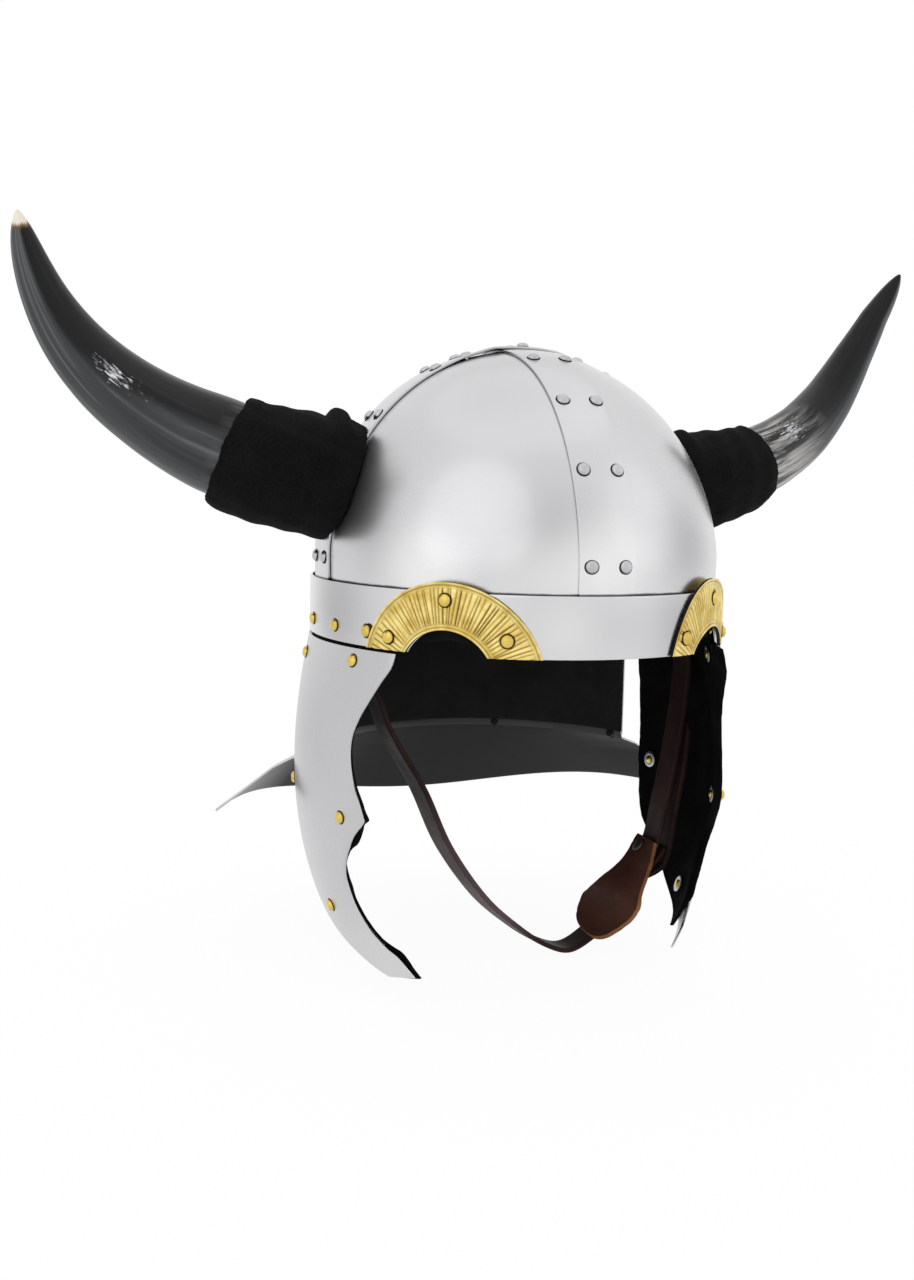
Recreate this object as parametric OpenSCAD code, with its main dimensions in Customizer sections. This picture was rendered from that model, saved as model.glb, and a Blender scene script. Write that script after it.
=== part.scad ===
// Horned helmet: a riveted steel bowl with brow band, eyebrow plates,
// cheek guards, neck guard, two real horns, a leather liner and a chin strap.
// X runs to the wearer's left, the face looks along -Y and Z points up.
// The origin is the middle of the bowl's opening, level with the lower edge of the brow band.

/* [Bowl] */
// Outside width across the brow band
bowl_w = 208; // [196:1:220]
// Outside length of the brow band, front to back
bowl_l = 236; // [224:1:250]
// Height of the crown above the lower edge of the brow band
crown_h = 147; // [135:1:160]
// Roundness of the bowl: 2 is an ellipsoid, more is fuller
bowl_fullness = 2.07; // [1.95:0.01:2.2]
// Thickness of the steel sheet
steel_t = 1.2; // [1:0.1:1.5]
// Gap between sheets that lie on each other
lay_gap = 0.2; // [0.15:0.05:0.3]
// Depth that the skull panels and bands reach down behind the brow band
panel_tuck = 10; // [8:0.5:11]
// How far the bowl swells out again above the brow band
bulge_h = 1.2; // [0.6:0.1:1.4]
// Gap between neighbouring skull panels, hidden under the bands
panel_gap = 1.2; // [0.6:0.1:2.4]

/* [Bands] */
// Height of the brow band
brow_h = 28.5; // [27:0.5:32]
// Width of the two bands that cross at the crown
band_w = 28; // [24:1:32]
// Distance of the ear-to-ear band behind the middle of the helmet
side_band_y = 2; // [0:0.5:4]
// Distance from a band's middle line to each row of rivets
rivet_row = 8.4; // [7:0.1:9]
// Length over which the upper band climbs on to the lower one
band_climb = 12; // [10:1:16]

/* [Eyebrow plates] */
// Angle of each eye opening from the middle of the face
eye_angle = 40.4; // [38:0.1:43]
// Depth of the arch's centre below the brow band's lower edge
eye_drop = 12; // [10:0.5:14]
// Radius of the eye opening
eye_r = 23.5; // [21:0.5:26]
// Outer radius of the brass eyebrow plate
eyebrow_r = 45.2; // [42:0.2:47]
// Thickness of the brass sheet
brass_t = 0.9; // [0.7:0.1:1.2]
// Height that the rims stand above the brass sheet
rim_h = 0.6; // [0.4:0.1:1]
// Width of the rims along both arcs
rim_w = 2.2; // [1.5:0.1:3]
// Angle of the two low rivets from the middle of an eyebrow plate
eyebrow_rivet_angle = 15.4; // [14:0.1:17]
// Height of the two low rivets above the lower edge
eyebrow_rivet_low = 7; // [6:0.5:9]
// Height of the top rivet above the lower edge
eyebrow_rivet_top = 25; // [23:0.5:26]

/* [Rivets] */
// Diameter of a steel rivet head
steel_head_d = 6.2; // [5:0.1:7]
// Diameter of a brass rivet head
brass_head_d = 5.8; // [5:0.1:7]
// Height of a rivet head
head_h = 2.1; // [1.5:0.1:2.6]
// Diameter of a rivet shank
shank_d = 3; // [2.4:0.1:3.6]
// Play of a shank in its hole, on the radius
shank_play = 0.1; // [0.05:0.01:0.2]
// Diameter of the peened end inside
peen_d = 4.4; // [4:0.1:5]
// Height of the peened end
peen_h = 0.8; // [0.5:0.1:1.2]
// Diameter of the washers inside the cheek guards
washer_d = 9; // [8:0.5:11]
// Thickness of those washers
washer_t = 0.8; // [0.6:0.1:1.2]

/* [Cheek guards] */
// Gap between the brow band and the guards that hang from it
guard_gap = 1.6; // [1.4:0.1:2]
// Length of a cheek guard below the brow band
cheek_len = 160.5; // [140:0.5:175]
// Angle of the guard's front edge at the top
cheek_front = 54.1; // [52:0.1:57]
// Angle of the guard's rear edge
cheek_rear = 110.4; // [106:0.5:113]
// Depth at which the straight rear edge ends
cheek_rear_straight = 88; // [70:1:100]
// Angle of the pointed lug between the two hollows of the front edge
cheek_lug = 60.4; // [57:0.2:63]
// Depth of that lug
cheek_lug_depth = 81.4; // [74:0.2:90]
// Angle of the guard's tip
cheek_tip = 51.4; // [48:0.1:56]
// How far a straight guard would lean out at its tip
cheek_lean = 31; // [20:1:34]
// How far the guard is curled in at its tip
cheek_curl = 46; // [36:1:52]
// Thickness of the black leather behind the guards
leather_t = 2; // [1.5:0.1:2.5]
// Gap between a cheek guard's steel and its leather
cheek_gap = 0.5; // [0.4:0.05:0.7]
// How far the leather shows past the steel's edge, in degrees
leather_show = 0.6; // [0:0.1:1]

/* [Neck guard] */
// Half the angle that the neck guard goes round the back
neck_half = 64; // [58:0.5:65]
// Depth of the upright neck plate
neck_h = 70.5; // [60:0.5:80]
// Height of the riveted flange of the flared rim
flange_h = 4.8; // [4.6:0.1:8]
// Width of the flared rim measured down its slope
flare_w = 64; // [50:1:75]
// Height that the rim drops at its corners
flare_drop = 33.5; // [28:0.5:40]
// Further drop of the rim at the middle of the back
flare_dip = 12; // [6:1:14]
// Angle from the back at which that dip has died out
flare_dip_angle = 50; // [40:1:60]

/* [Horns] */
// Height of each horn's root above the brow band's lower edge
horn_root_z = 78; // [72:1:84]
// Distance of the tips from the middle of the helmet
horn_reach = 245; // [225:1:260]
// Distance of the tips behind the middle of the helmet
horn_tip_back = 19; // [5:1:30]
// Height of the right horn's tip
horn_tip_right = 199.5; // [185:0.5:210]
// Height of the left horn's tip
horn_tip_left = 203; // [185:0.5:210]
// Radius of the right horn at its root
horn_r_right = 24.4; // [21:0.2:25]
// Radius of the left horn at its root
horn_r_left = 20.2; // [18:0.2:25]
// Wall of the horn at its root
horn_wall = 4; // [3:0.5:5]
// Share of the horn's curve that is hollow
horn_hollow = 0.55; // [0.4:0.05:0.6]
// Length of the wooden plug in a horn's root
plug_len = 34; // [26:1:38]
// Gap between the plug and the horn
plug_gap = 0.8; // [0.6:0.05:0.9]
// Diameter of the bolt that holds a horn
bolt_d = 5; // [4:0.5:6]

/* [Sleeves] */
// Length of the suede sleeve over the right horn's root
sleeve_len_right = 54; // [44:1:62]
// Length of the suede sleeve over the left horn's root
sleeve_len_left = 48; // [44:1:62]
// Thickness of the suede
suede_t = 1.8; // [1.4:0.1:2.4]
// How much wider the right sleeve is where it meets the bowl
sleeve_flare_right = 2; // [1:0.2:4]
// How much wider the left sleeve is where it meets the bowl
sleeve_flare_left = 4.2; // [1:0.2:5]

/* [Chin strap] */
// Width of the chin strap
strap_w = 17; // [15:0.5:19]
// Thickness of the strap's leather
strap_t = 2.6; // [2:0.1:3]
// Width of the shield behind the buckle
shield_w = 33; // [30:1:40]
// How far the shield's lower end lies in front of the strap's middle
shield_shift = 6; // [0:0.5:8]
// Thickness of the shield's leather
shield_t = 2.4; // [2:0.1:3]
// Thickness of the buckle's wire
buckle_wire = 3.2; // [2.8:0.1:3.6]
// Distance between the buckle's two bars
buckle_len = 19; // [17:0.5:22]
// Thickness of the prong
prong_d = 2.4; // [2:0.1:2.6]
// Play of the prong's eye on the bar, on the radius
eye_play = 0.06; // [0.03:0.01:0.1]

/* [Liner] */
// Height of the leather liner band
liner_h = 31; // [24:1:32]
// Thickness of the liner leather
liner_t = 1.6; // [1.2:0.1:2]
// Number of liner tongues
tongues = 8; // [6:1:10]
// Height of the liner's hammock above the top of its band
hammock_h = 82; // [66:1:86]
// Elevation on the hammock at which the tongues end
tongue_end = 72; // [64:1:76]
// Diameter of the lace that gathers the tongues
lace_d = 3; // [2:0.5:4]

/* [Hidden] */

ha = bowl_w / 2;
hb = bowl_l / 2;
hc = crown_h - brow_h - steel_t;
// Faces of the layers, measured from the brow band's outer face
band_out = -steel_t - lay_gap;
band_in = band_out - steel_t;
panel_out = band_in - lay_gap;
panel_in = panel_out - steel_t;
leather_in = band_out - leather_t;
liner_out = min(panel_in, leather_in) - lay_gap;
liner_in = liner_out - liner_t;
strap_out = liner_in - lay_gap;
tongue_out = liner_in - lay_gap;
cheek_in = -steel_t - cheek_gap - leather_t;
liner_z = 5;
hole_r = shank_d / 2 + shank_play;
seat_gap = 0.1;
bend_gap = 0.3;
ring_n = 144;
// Angles of the rivet pairs up the front and the back band, and up the side bands
front_rivets = [6, 28, 48.5, 70];
side_rivets = [5, 43.5, 64, 73.5];
// Brow rivets: over the cheek guards, and over the neck guard
brow_rivet_z = 7.5;
brow_rivet_angles = [63.5, 77.7, 94.4, 122, 141, 160.5];
strap_angle = 94.4;
// Front edge of a cheek guard as depth and angle past its top corner, for a depth of 160.5
cheek_ref = 160.5;
cheek_edge = [[0, 0], [8, 0.9], [15.6, 3.6], [24.4, 6.5], [33.7, 9.4], [43.8, 11.4], [53.9, 11.4],
    [63.9, 10.1], [72.5, 8.1]];
// The lower hollow, from the lug down, as depth and angle past the lug
cheek_hollow = [[0, 0], [2.4, 0.8], [10.4, 4.1], [20.5, 7.3], [30, 8.9], [38, 8.5], [47.2, 7.1], [56.6, 3.7],
    [64.6, -1.3], [68.6, -5.2]];
// Where the rear edge curves round to the tip, as depth and angle before its straight part
cheek_round = [[81.4, 0], [88, 0.6], [97, 1.2], [106, 2.6], [114, 4.4], [123, 8], [134, 12.5], [144, 17.5],
    [152.5, 26], [159, 37], [162, 47.5]];
// Rivets of a cheek guard as angle and depth
cheek_rivet_spots = [[100.1, 11], [68.2, 7.5], [106, 79.6], [68.8, 83], [82, 135]];
cheek_cols = 9;
hinge_leather_h = brow_h - panel_tuck - 2;
// Neck guard's rivets: through the flange, and through the lining above
flange_rivets = [-60, -20, 20, 60];
lining_rivets = [-52, -18, 18, 52];
// Direction in which a horn leaves the bowl, and the point that pulls it back and out
horn_leave = [50, -10, 13];
horn_bend = [-19, 66, 106];
horn_n = 20;
steel = [0.78, 0.79, 0.8];
brass = [0.85, 0.72, 0.3];
black_leather = [0.07, 0.07, 0.07];
brown_leather = [0.27, 0.16, 0.12];
shield_leather = [0.36, 0.18, 0.11];
horn_colour = [0.2, 0.2, 0.2];
liner_leather = [0.1, 0.09, 0.08];
wood = [0.6, 0.45, 0.3];

function smooth_step(t) = let (c = min(1, max(0, t))) c * c * (3 - 2 * c);
// Swell of the bowl at a height above the brow band
function bulge(h) = bulge_h * smooth_step(h / 22);
// Point on an upright wall: angle from the face towards the wearer's left, height, offset
function wall_pt(a, z, g) = [(ha + g) * sin(a), -(hb + g) * cos(a), z];
// Angle of the wall's outward normal at the same angle
function wall_turn(a) = atan2(sin(a) / ha, cos(a) / hb);
// Height of the bowl over its brim for a share of its radius
function rise(r) = hc * pow(max(0, 1 - pow(min(1, r), bowl_fullness)), 1 / bowl_fullness);
// Point of the bowl from its shares of the half width and half length, with an offset
function bowl_from(px, py, g) = let (h = rise(norm([px, py])), o = g + bulge(h))
    [(ha + o) * px, (hb + o) * py, brow_h + h * (1 + o / hc)];
// Point on the bowl: share of the way between two side planes, elevation, offset
function panel_pt(f, e, g) = let (r = pow(cos(e), 2 / bowl_fullness),
    a0 = asin(panel_gap / 2 / (ha * r)), a1 = 90 - asin(panel_gap / 2 / (hb * r)), a = a0 + (a1 - a0) * f)
    bowl_from(r * sin(a), r * cos(a), g);
// Point on a strip over the bowl: distance beside its middle plane, angle over the bowl, offset
function strip_pt(side, u, t, g) = let (half = side ? hb : ha, k = sqrt(1 - pow(u / half, 2)),
    r = k * sign(cos(t)) * pow(abs(cos(t)), 2 / bowl_fullness))
    side ? bowl_from(r, u / half, g) : bowl_from(u / half, r, g);
// Offset of the ear-to-ear band, which climbs over the other one at the crown
function climb(x) = band_out + (steel_t + lay_gap) * (1 - smooth_step((abs(x) - band_w / 2 - 1.5) / band_climb));
// Zero on the bowl's surface, positive outside
function bowl_level(p, g) = pow(norm([p.x / (ha + g), p.y / (hb + g)]), bowl_fullness)
    + pow(max(p.z - brow_h, 0) / (hc + g), bowl_fullness) - 1;
// Slides a point along a direction until it lies on the bowl's surface
function on_bowl(p, dir, g, turns = 6) = turns == 0 ? p
    : let (step = 0.01, f = bowl_level(p, g), slope = (bowl_level(p + step * dir, g) - f) / step)
        on_bowl(p - dir * f / slope, dir, g, turns - 1);
function unit(v) = v / norm(v);
// Outward normal of the bowl at a point on it
function bowl_normal(p) = let (r = norm([p.x / ha, p.y / hb]), k = pow(r, bowl_fullness - 2))
    unit([k * p.x / (ha * ha), k * p.y / (hb * hb),
        pow(max(p.z - brow_h, 0), bowl_fullness - 1) / pow(hc, bowl_fullness)]);
// Cubic curve through two ends with two pulling points
function curve(p, t) = pow(1 - t, 3) * p[0] + 3 * pow(1 - t, 2) * t * p[1]
    + 3 * (1 - t) * t * t * p[2] + pow(t, 3) * p[3];
// Smooth curve through every point of a list
function through(p, i, t) = let (a = p[max(i - 1, 0)], b = p[i], c = p[i + 1], d = p[min(i + 2, len(p) - 1)])
    0.5 * (2 * b + (c - a) * t + (2 * a - 5 * b + 4 * c - d) * t * t + (3 * b - a - 3 * c + d) * t * t * t);
function smooth(p, n) = concat([for (i = [0 : len(p) - 2]) for (k = [0 : n - 1]) through(p, i, k / n)],
    [p[len(p) - 1]]);

// Solid through a list of rings with equally many points
module skin(rings, loop = false) {
    n = len(rings);
    m = len(rings[0]);
    points = [for (r = rings) each r];
    sides = [for (i = [0 : loop ? n - 1 : n - 2]) for (j = [0 : m - 1])
        let (a = i * m + j, b = i * m + (j + 1) % m, c = (i + 1) % n * m + (j + 1) % m, d = (i + 1) % n * m + j)
        each [[a, b, c], [a, c, d]]];
    ends = loop ? [] : [for (e = [0, 1]) for (k = [0 : m / 2 - 2])
        let (o = e * (n - 1) * m, a = o + k, b = o + k + 1, c = o + m - 2 - k, d = o + m - 1 - k)
        each e == 0 ? [[a, c, b], [a, d, c]] : [[a, b, c], [a, c, d]]];
    faces = concat(sides, ends);
    volume = [for (f = faces) cross(points[f[0]], points[f[1]]) * points[f[2]]] * [for (f = faces) 1];
    polyhedron(points, volume > 0 ? [for (f = faces) [f[2], f[1], f[0]]] : faces, convexity = 8);
}

// Ring of a sheet: a row of its outer face and back along its inner face
function sheet_ring(outer, inner) = concat(outer, [for (i = [len(inner) - 1 : -1 : 0]) inner[i]]);

// Ellipse of the wall as a polygon
function wall_ring(g) = [for (i = [0 : ring_n - 1]) let (p = wall_pt(i * 360 / ring_n, 0, g)) [p.x, p.y]];
function wall_arc(a0, a1, g) = let (n = ceil((a1 - a0) / 2.5))
    [for (i = [0 : n]) let (p = wall_pt(a0 + (a1 - a0) * i / n, 0, g)) [p.x, p.y]];

// Upright wall all round
module wall(z0, z1, g0, g1) {
    translate([0, 0, z0]) linear_extrude(z1 - z0) difference() {
        polygon(wall_ring(max(g0, g1)));
        polygon(wall_ring(min(g0, g1)));
    }
}

// Upright wall between two angles
module wall_sector(a0, a1, z0, z1, g0, g1) {
    translate([0, 0, z0]) linear_extrude(z1 - z0)
        polygon(sheet_ring(wall_arc(a0, a1, g0), wall_arc(a0, a1, g1)));
}

// Puts children on a wall, with +Z pointing outwards and +Y up
module facing(a, z, g = 0) {
    translate(wall_pt(a, z, g)) rotate([90, 0, wall_turn(a)]) children();
}

// Puts children at a point, with +Z along a normal
module along(p, n) {
    translate(p) rotate([0, acos(n.z), atan2(n.y, n.x)]) children();
}

module mirrored(right) {
    if (right) mirror([1, 0, 0]) children();
    else children();
}

// Rivet: head above zero, shank through the grip, peened end below it
module rivet(head_d, grip) {
    r = head_d / 2;
    rotate_extrude($fn = 24) polygon([[0, head_h], [r * 0.45, head_h * 0.9], [r * 0.8, head_h * 0.6],
        [r, head_h * 0.15], [r, 0], [shank_d / 2, 0], [shank_d / 2, -grip], [peen_d / 2, -grip],
        [peen_d / 2 * 0.8, -grip - peen_h], [0, -grip - peen_h]]);
}

// Hole for a rivet's shank
module shank_hole() {
    translate([0, 0, -15]) cylinder(h = 30, r = hole_r, $fn = 24);
}

// Rivets of the two bands as lists of point, normal and grip
function band_spots() = [
    for (t = front_rivets, e = [t, 180 - t], m = [-1, 1])
        let (p = strip_pt(false, m * rivet_row, e, band_out)) [p, bowl_normal(p), band_out - panel_in],
    for (t = side_rivets, e = [t, 180 - t], m = [-1, 1])
        let (q = strip_pt(true, side_band_y + m * rivet_row, e, 0),
            p = strip_pt(true, side_band_y + m * rivet_row, e, climb(q.x)))
            [p, bowl_normal(p), climb(q.x) - panel_in],
    for (m = [-1, 1])
        let (p = strip_pt(true, side_band_y + m * rivet_row, 90, climb(0)))
            [p, bowl_normal(p), climb(0) - band_in]];

module band_holes() {
    for (s = band_spots()) along(s[0], s[1]) shank_hole();
    for (s = [-1, 1]) along(bolt_seat(s), bowl_normal(bolt_seat(s)))
        translate([0, 0, -15]) cylinder(h = 30, r = bolt_d / 2 + 0.15, $fn = 32);
}

// Steel quarter of the bowl, tucked behind the brow band
module skull_panel(left, rear) {
    n = 15;
    m = 15;
    function row(e, g) = [for (j = [0 : m]) panel_pt(j / m, e, g)];
    function tuck(g) = [for (p = row(0, g)) [p.x, p.y, brow_h - panel_tuck]];
    rings = concat([sheet_ring(tuck(panel_out), tuck(panel_in))],
        [for (i = [0 : n]) let (e = i * 84 / n) sheet_ring(row(e, panel_out), row(e, panel_in))]);
    color(steel) difference() {
        mirror([left ? 0 : 1, 0, 0]) mirror([0, rear ? 0 : 1, 0]) skin(rings);
        band_holes();
        eyebrow_holes();
    }
}

module skull_panel_front_right() {
    skull_panel(false, false);
}

module skull_panel_front_left() {
    skull_panel(true, false);
}

module skull_panel_rear_right() {
    skull_panel(false, true);
}

module skull_panel_rear_left() {
    skull_panel(true, true);
}

module brow_band() {
    color(steel) difference() {
        wall(0, brow_h, 0, -steel_t);
        for (m = [-1, 1]) facing(m * eye_angle, -eye_drop)
            translate([0, 0, -15]) cylinder(h = 30, r = eye_r, $fn = 96);
        brow_holes();
        eyebrow_holes();
    }
}

// Sheet strip over the bowl
module strip(side, mid, outer) {
    cols = 4;
    rows = 40;
    function at(i, j) = strip_pt(side, mid + band_w * (j / cols - 0.5), 180 * i / rows, 0);
    function face(i, lift) = [for (j = [0 : cols]) let (g = (outer ? climb(at(i, j).x) : band_out) + lift)
        strip_pt(side, mid + band_w * (j / cols - 0.5), 180 * i / rows, g)];
    function tuck(i, lift) = [for (p = face(i, lift)) [p.x, p.y, brow_h - panel_tuck]];
    rings = concat([sheet_ring(tuck(0, 0), tuck(0, -steel_t))],
        [for (i = [0 : rows]) sheet_ring(face(i, 0), face(i, -steel_t))],
        [sheet_ring(tuck(rows, 0), tuck(rows, -steel_t))]);
    color(steel) difference() {
        skin(rings);
        band_holes();
    }
}

module front_back_band() {
    strip(false, 0, false);
}

module ear_to_ear_band() {
    strip(true, side_band_y, true);
}

module band_rivets() {
    color(steel) for (s = band_spots())
        along(s[0] + seat_gap * s[1], s[1]) rivet(steel_head_d, s[2] + 2 * seat_gap + bend_gap);
}

// Eyebrow rivets as angle and height
function eyebrow_spots() = [for (m = [-1, 1])
    each [[m * (eye_angle - eyebrow_rivet_angle), eyebrow_rivet_low + 1],
        [m * eye_angle, eyebrow_rivet_top],
        [m * (eye_angle + eyebrow_rivet_angle), eyebrow_rivet_low - 1]]];

module eyebrow_holes() {
    for (s = eyebrow_spots()) facing(s[0], s[1]) shank_hole();
}

// Brass arch over an eye, with a raised rim along both arcs
module eyebrow_plate(m) {
    color(brass) difference() {
        union() {
            intersection() {
                wall_sector(m * eye_angle - 26, m * eye_angle + 26, 0, 40, lay_gap, lay_gap + brass_t);
                facing(m * eye_angle, -eye_drop) arch(eye_r, eyebrow_r);
            }
            intersection() {
                wall_sector(m * eye_angle - 26, m * eye_angle + 26, 0, 40, lay_gap, lay_gap + brass_t + rim_h);
                facing(m * eye_angle, -eye_drop) union() {
                    arch(eye_r, eye_r + rim_w);
                    arch(eyebrow_r - rim_w, eyebrow_r);
                }
            }
        }
        eyebrow_holes();
    }
}

module arch(r0, r1) {
    translate([0, 0, -15]) difference() {
        cylinder(h = 30, r = r1, $fn = 128);
        translate([0, 0, -1]) cylinder(h = 32, r = r0, $fn = 96);
    }
}

module eyebrow_plate_right() {
    eyebrow_plate(-1);
}

module eyebrow_plate_left() {
    eyebrow_plate(1);
}

module eyebrow_rivets() {
    top = lay_gap + brass_t + seat_gap;
    color(brass) for (s = eyebrow_spots())
        facing(s[0], s[1], top) rivet(brass_head_d, top - liner_in + seat_gap);
}

module brow_holes() {
    for (m = [-1, 1], a = brow_rivet_angles) facing(m * a, brow_rivet_z) shank_hole();
    facing(180, brow_rivet_z) shank_hole();
}

module brow_rivets() {
    color(brass) {
        for (m = [-1, 1], a = brow_rivet_angles)
            facing(m * a, brow_rivet_z, seat_gap)
                rivet(brass_head_d, 2 * seat_gap + (a == strap_angle ? strap_grip : -liner_in));
        facing(180, brow_rivet_z, seat_gap) rivet(brass_head_d, 2 * seat_gap - liner_in);
    }
}

// Upper part of a hinge leather, riveted behind the brow band
module hinge_leather(a0, a1) {
    color(black_leather) difference() {
        wall_sector(a0, a1, 0.4, hinge_leather_h, band_out, leather_in);
        brow_holes();
        eyebrow_holes();
    }
}

module hinge_leather_right() {
    hinge_leather(-cheek_rear, -cheek_front);
}

module hinge_leather_left() {
    hinge_leather(cheek_front, cheek_rear);
}

module hinge_leather_neck() {
    hinge_leather(180 - neck_half, 180 + neck_half);
}

// Share of the upright wall's size that a cheek guard has at a depth
function cheek_size(d) = let (v = d / cheek_len) 1 + (cheek_lean * v - cheek_curl * v * v * (0.48 + 0.52 * v)) / ha;
// Point on the left cheek guard: angle, depth, offset
function cheek_pt(a, d, g) = let (s = cheek_size(d)) [(ha * s + g) * sin(a), -(hb * s + g) * cos(a), -d];
function cheek_normal(a, d) = unit(cross(cheek_pt(a + 0.1, d, 0) - cheek_pt(a - 0.1, d, 0),
    cheek_pt(a, d - 0.1, 0) - cheek_pt(a, d + 0.1, 0)));
// The two lower edges with a point added between each two
cheek_hollow_fine = smooth(cheek_hollow, 2);
cheek_round_fine = smooth(cheek_round, 2);
// Rows of a cheek guard, each from its front edge to its rear edge, as depth and angle
function cheek_rows(top, show) = let (k = cheek_len / cheek_ref)
    concat([[[top, cheek_front - show], [top, cheek_rear + show]]],
        [for (p = cheek_edge) if (p[0] * k > top + 1)
            [[p[0] * k, cheek_front + p[1] - show], [p[0] * k, cheek_rear + show]]],
        [for (i = [0 : len(cheek_hollow_fine) - 1]) let (p = cheek_hollow_fine[i], q = cheek_round_fine[i])
            [[cheek_lug_depth + p[0] * k, cheek_lug + p[1] - show], [q[0] * k, cheek_rear - q[1] + show]]],
        [[[cheek_len - 3 + show, cheek_tip - show], [162.3 * k + show, cheek_rear - 47.5]]]);

// Sheet cut to the cheek guard's outline between two offsets
module cheek_sheet(top, show, g0, g1) {
    function edge(r, g) = [for (j = [0 : cheek_cols - 1]) let (f = j / (cheek_cols - 1), q = r[0] + (r[1] - r[0]) * f)
        cheek_pt(q[1], q[0], g)];
    skin([for (r = cheek_rows(top, show)) sheet_ring(edge(r, g0), edge(r, g1))]);
}

module cheek_holes() {
    for (s = cheek_rivet_spots) along(cheek_pt(s[0], s[1], 0), cheek_normal(s[0], s[1])) shank_hole();
}

module cheek_plate(right) {
    color(steel) mirrored(right) difference() {
        cheek_sheet(guard_gap, 0, 0, -steel_t);
        cheek_holes();
    }
}

module cheek_lining(right) {
    color(black_leather) mirrored(right) difference() {
        cheek_sheet(guard_gap / 2, leather_show, -steel_t - cheek_gap, cheek_in);
        cheek_holes();
    }
}

module cheek_rivets(right) {
    color(brass) mirrored(right) for (s = cheek_rivet_spots) let (n = cheek_normal(s[0], s[1]))
        along(cheek_pt(s[0], s[1], 0) + seat_gap * n, n)
            rivet(brass_head_d, 2 * seat_gap - cheek_in + 0.4 + washer_t);
}

module cheek_washers(right) {
    color(steel) mirrored(right) for (s = cheek_rivet_spots) let (n = cheek_normal(s[0], s[1]))
        along(cheek_pt(s[0], s[1], 0) + (cheek_in - 0.4 - washer_t) * n, n) difference() {
            cylinder(h = washer_t, d = washer_d, $fn = 32);
            translate([0, 0, -1]) cylinder(h = washer_t + 2, r = hole_r, $fn = 24);
        }
}

module cheek_plate_right() {
    cheek_plate(true);
}

module cheek_plate_left() {
    cheek_plate(false);
}

module cheek_lining_right() {
    cheek_lining(true);
}

module cheek_lining_left() {
    cheek_lining(false);
}

module cheek_rivets_right() {
    cheek_rivets(true);
}

module cheek_rivets_left() {
    cheek_rivets(false);
}

module cheek_washers_right() {
    cheek_washers(true);
}

module cheek_washers_left() {
    cheek_washers(false);
}

module neck_holes() {
    for (a = flange_rivets) facing(180 + a, -neck_h + flange_h / 2 + 0.6) shank_hole();
    for (a = lining_rivets) facing(180 + a, -12) shank_hole();
}

module neck_plate() {
    color(steel) difference() {
        wall_sector(180 - neck_half, 180 + neck_half, -neck_h + 1.2, -guard_gap, 0, -steel_t);
        neck_holes();
    }
}

module neck_lining() {
    color(black_leather) difference() {
        wall_sector(180 - neck_half, 180 + neck_half, -neck_h + flange_h + 1.2, -guard_gap / 2, band_out, leather_in);
        neck_holes();
    }
}

// Point on the flared rim: angle from the back, share of its width, offset towards the inside
function flare_pt(a, f, g) = let (
    dip = abs(a) < flare_dip_angle ? flare_dip * pow(cos(90 * a / flare_dip_angle), 2) : 0,
    drop = flare_drop + dip, out = sqrt(flare_w * flare_w - drop * drop),
    w = wall_pt(180 + a, -neck_h, band_out), t = wall_turn(180 + a),
    tilt = atan2(out, drop))
    w + (out * f - g * cos(tilt)) * [sin(t), -cos(t), 0] + [0, 0, -drop * f - g * sin(tilt)];

module neck_flare() {
    n = 40;
    shares = [0, 0.34, 0.67, 1];
    function section(a) = concat(
        [wall_pt(180 + a, -neck_h + flange_h, band_out)],
        [for (f = shares) flare_pt(a, f, 0)],
        [for (i = [3 : -1 : 0]) flare_pt(a, shares[i], steel_t)],
        [wall_pt(180 + a, -neck_h + flange_h, band_in)]);
    color(steel) difference() {
        skin([for (i = [0 : n]) section(neck_half * (2 * i / n - 1))]);
        neck_holes();
    }
}

module neck_rivets() {
    color(steel) {
        for (a = flange_rivets) facing(180 + a, -neck_h + flange_h / 2 + 0.6, seat_gap)
            rivet(steel_head_d, 2 * seat_gap - band_in);
        for (a = lining_rivets) facing(180 + a, -12, seat_gap)
            rivet(steel_head_d, 2 * seat_gap - leather_in);
    }
}

// Curve of the left horn's middle line for a tip height
function horn_line(tip) = let (p = on_bowl([ha, 0, horn_root_z], [1, 0, 0], band_out + bulge_h) + [1.8, 0, 0])
    [p, p + horn_leave, [horn_reach, 0, 0] + horn_bend, [horn_reach, horn_tip_back, tip]];
function horn_steps(p) = [for (i = [0 : 40]) curve(p, i / 40)];
function horn_lengths(p) = let (q = horn_steps(p))
    [for (i = 0, sum = 0; i <= 40; i = i + 1, sum = sum + (i <= 40 ? norm(q[i] - q[i - 1]) : 0)) [sum, i / 40]];
// Share of the curve's parameter at which a length is reached
function horn_at(p, length) = lookup(length, horn_lengths(p));
// Ring round the horn's middle line; the root ring lies on the bowl
function horn_ring(p, t, r, n) = let (d = unit(curve(p, t + 0.001) - curve(p, t - 0.001)),
    u = unit(cross([0, 1, 0], d)), v = cross(d, u))
    [for (k = [0 : n - 1]) curve(p, t) + r * (cos(360 * k / n) * u + sin(360 * k / n) * v)];
function root_ring(p, r, n) = [for (q = horn_ring(p, 0, r, n))
    on_bowl(q, unit(horn_leave), band_out + bulge_h + 0.15)];
function horn_r(right, s) = right ? horn_r_right * pow(1 - pow(s, 2.03), 0.8)
    : horn_r_left * pow(1 - pow(s, 2.03), 0.76);

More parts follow.
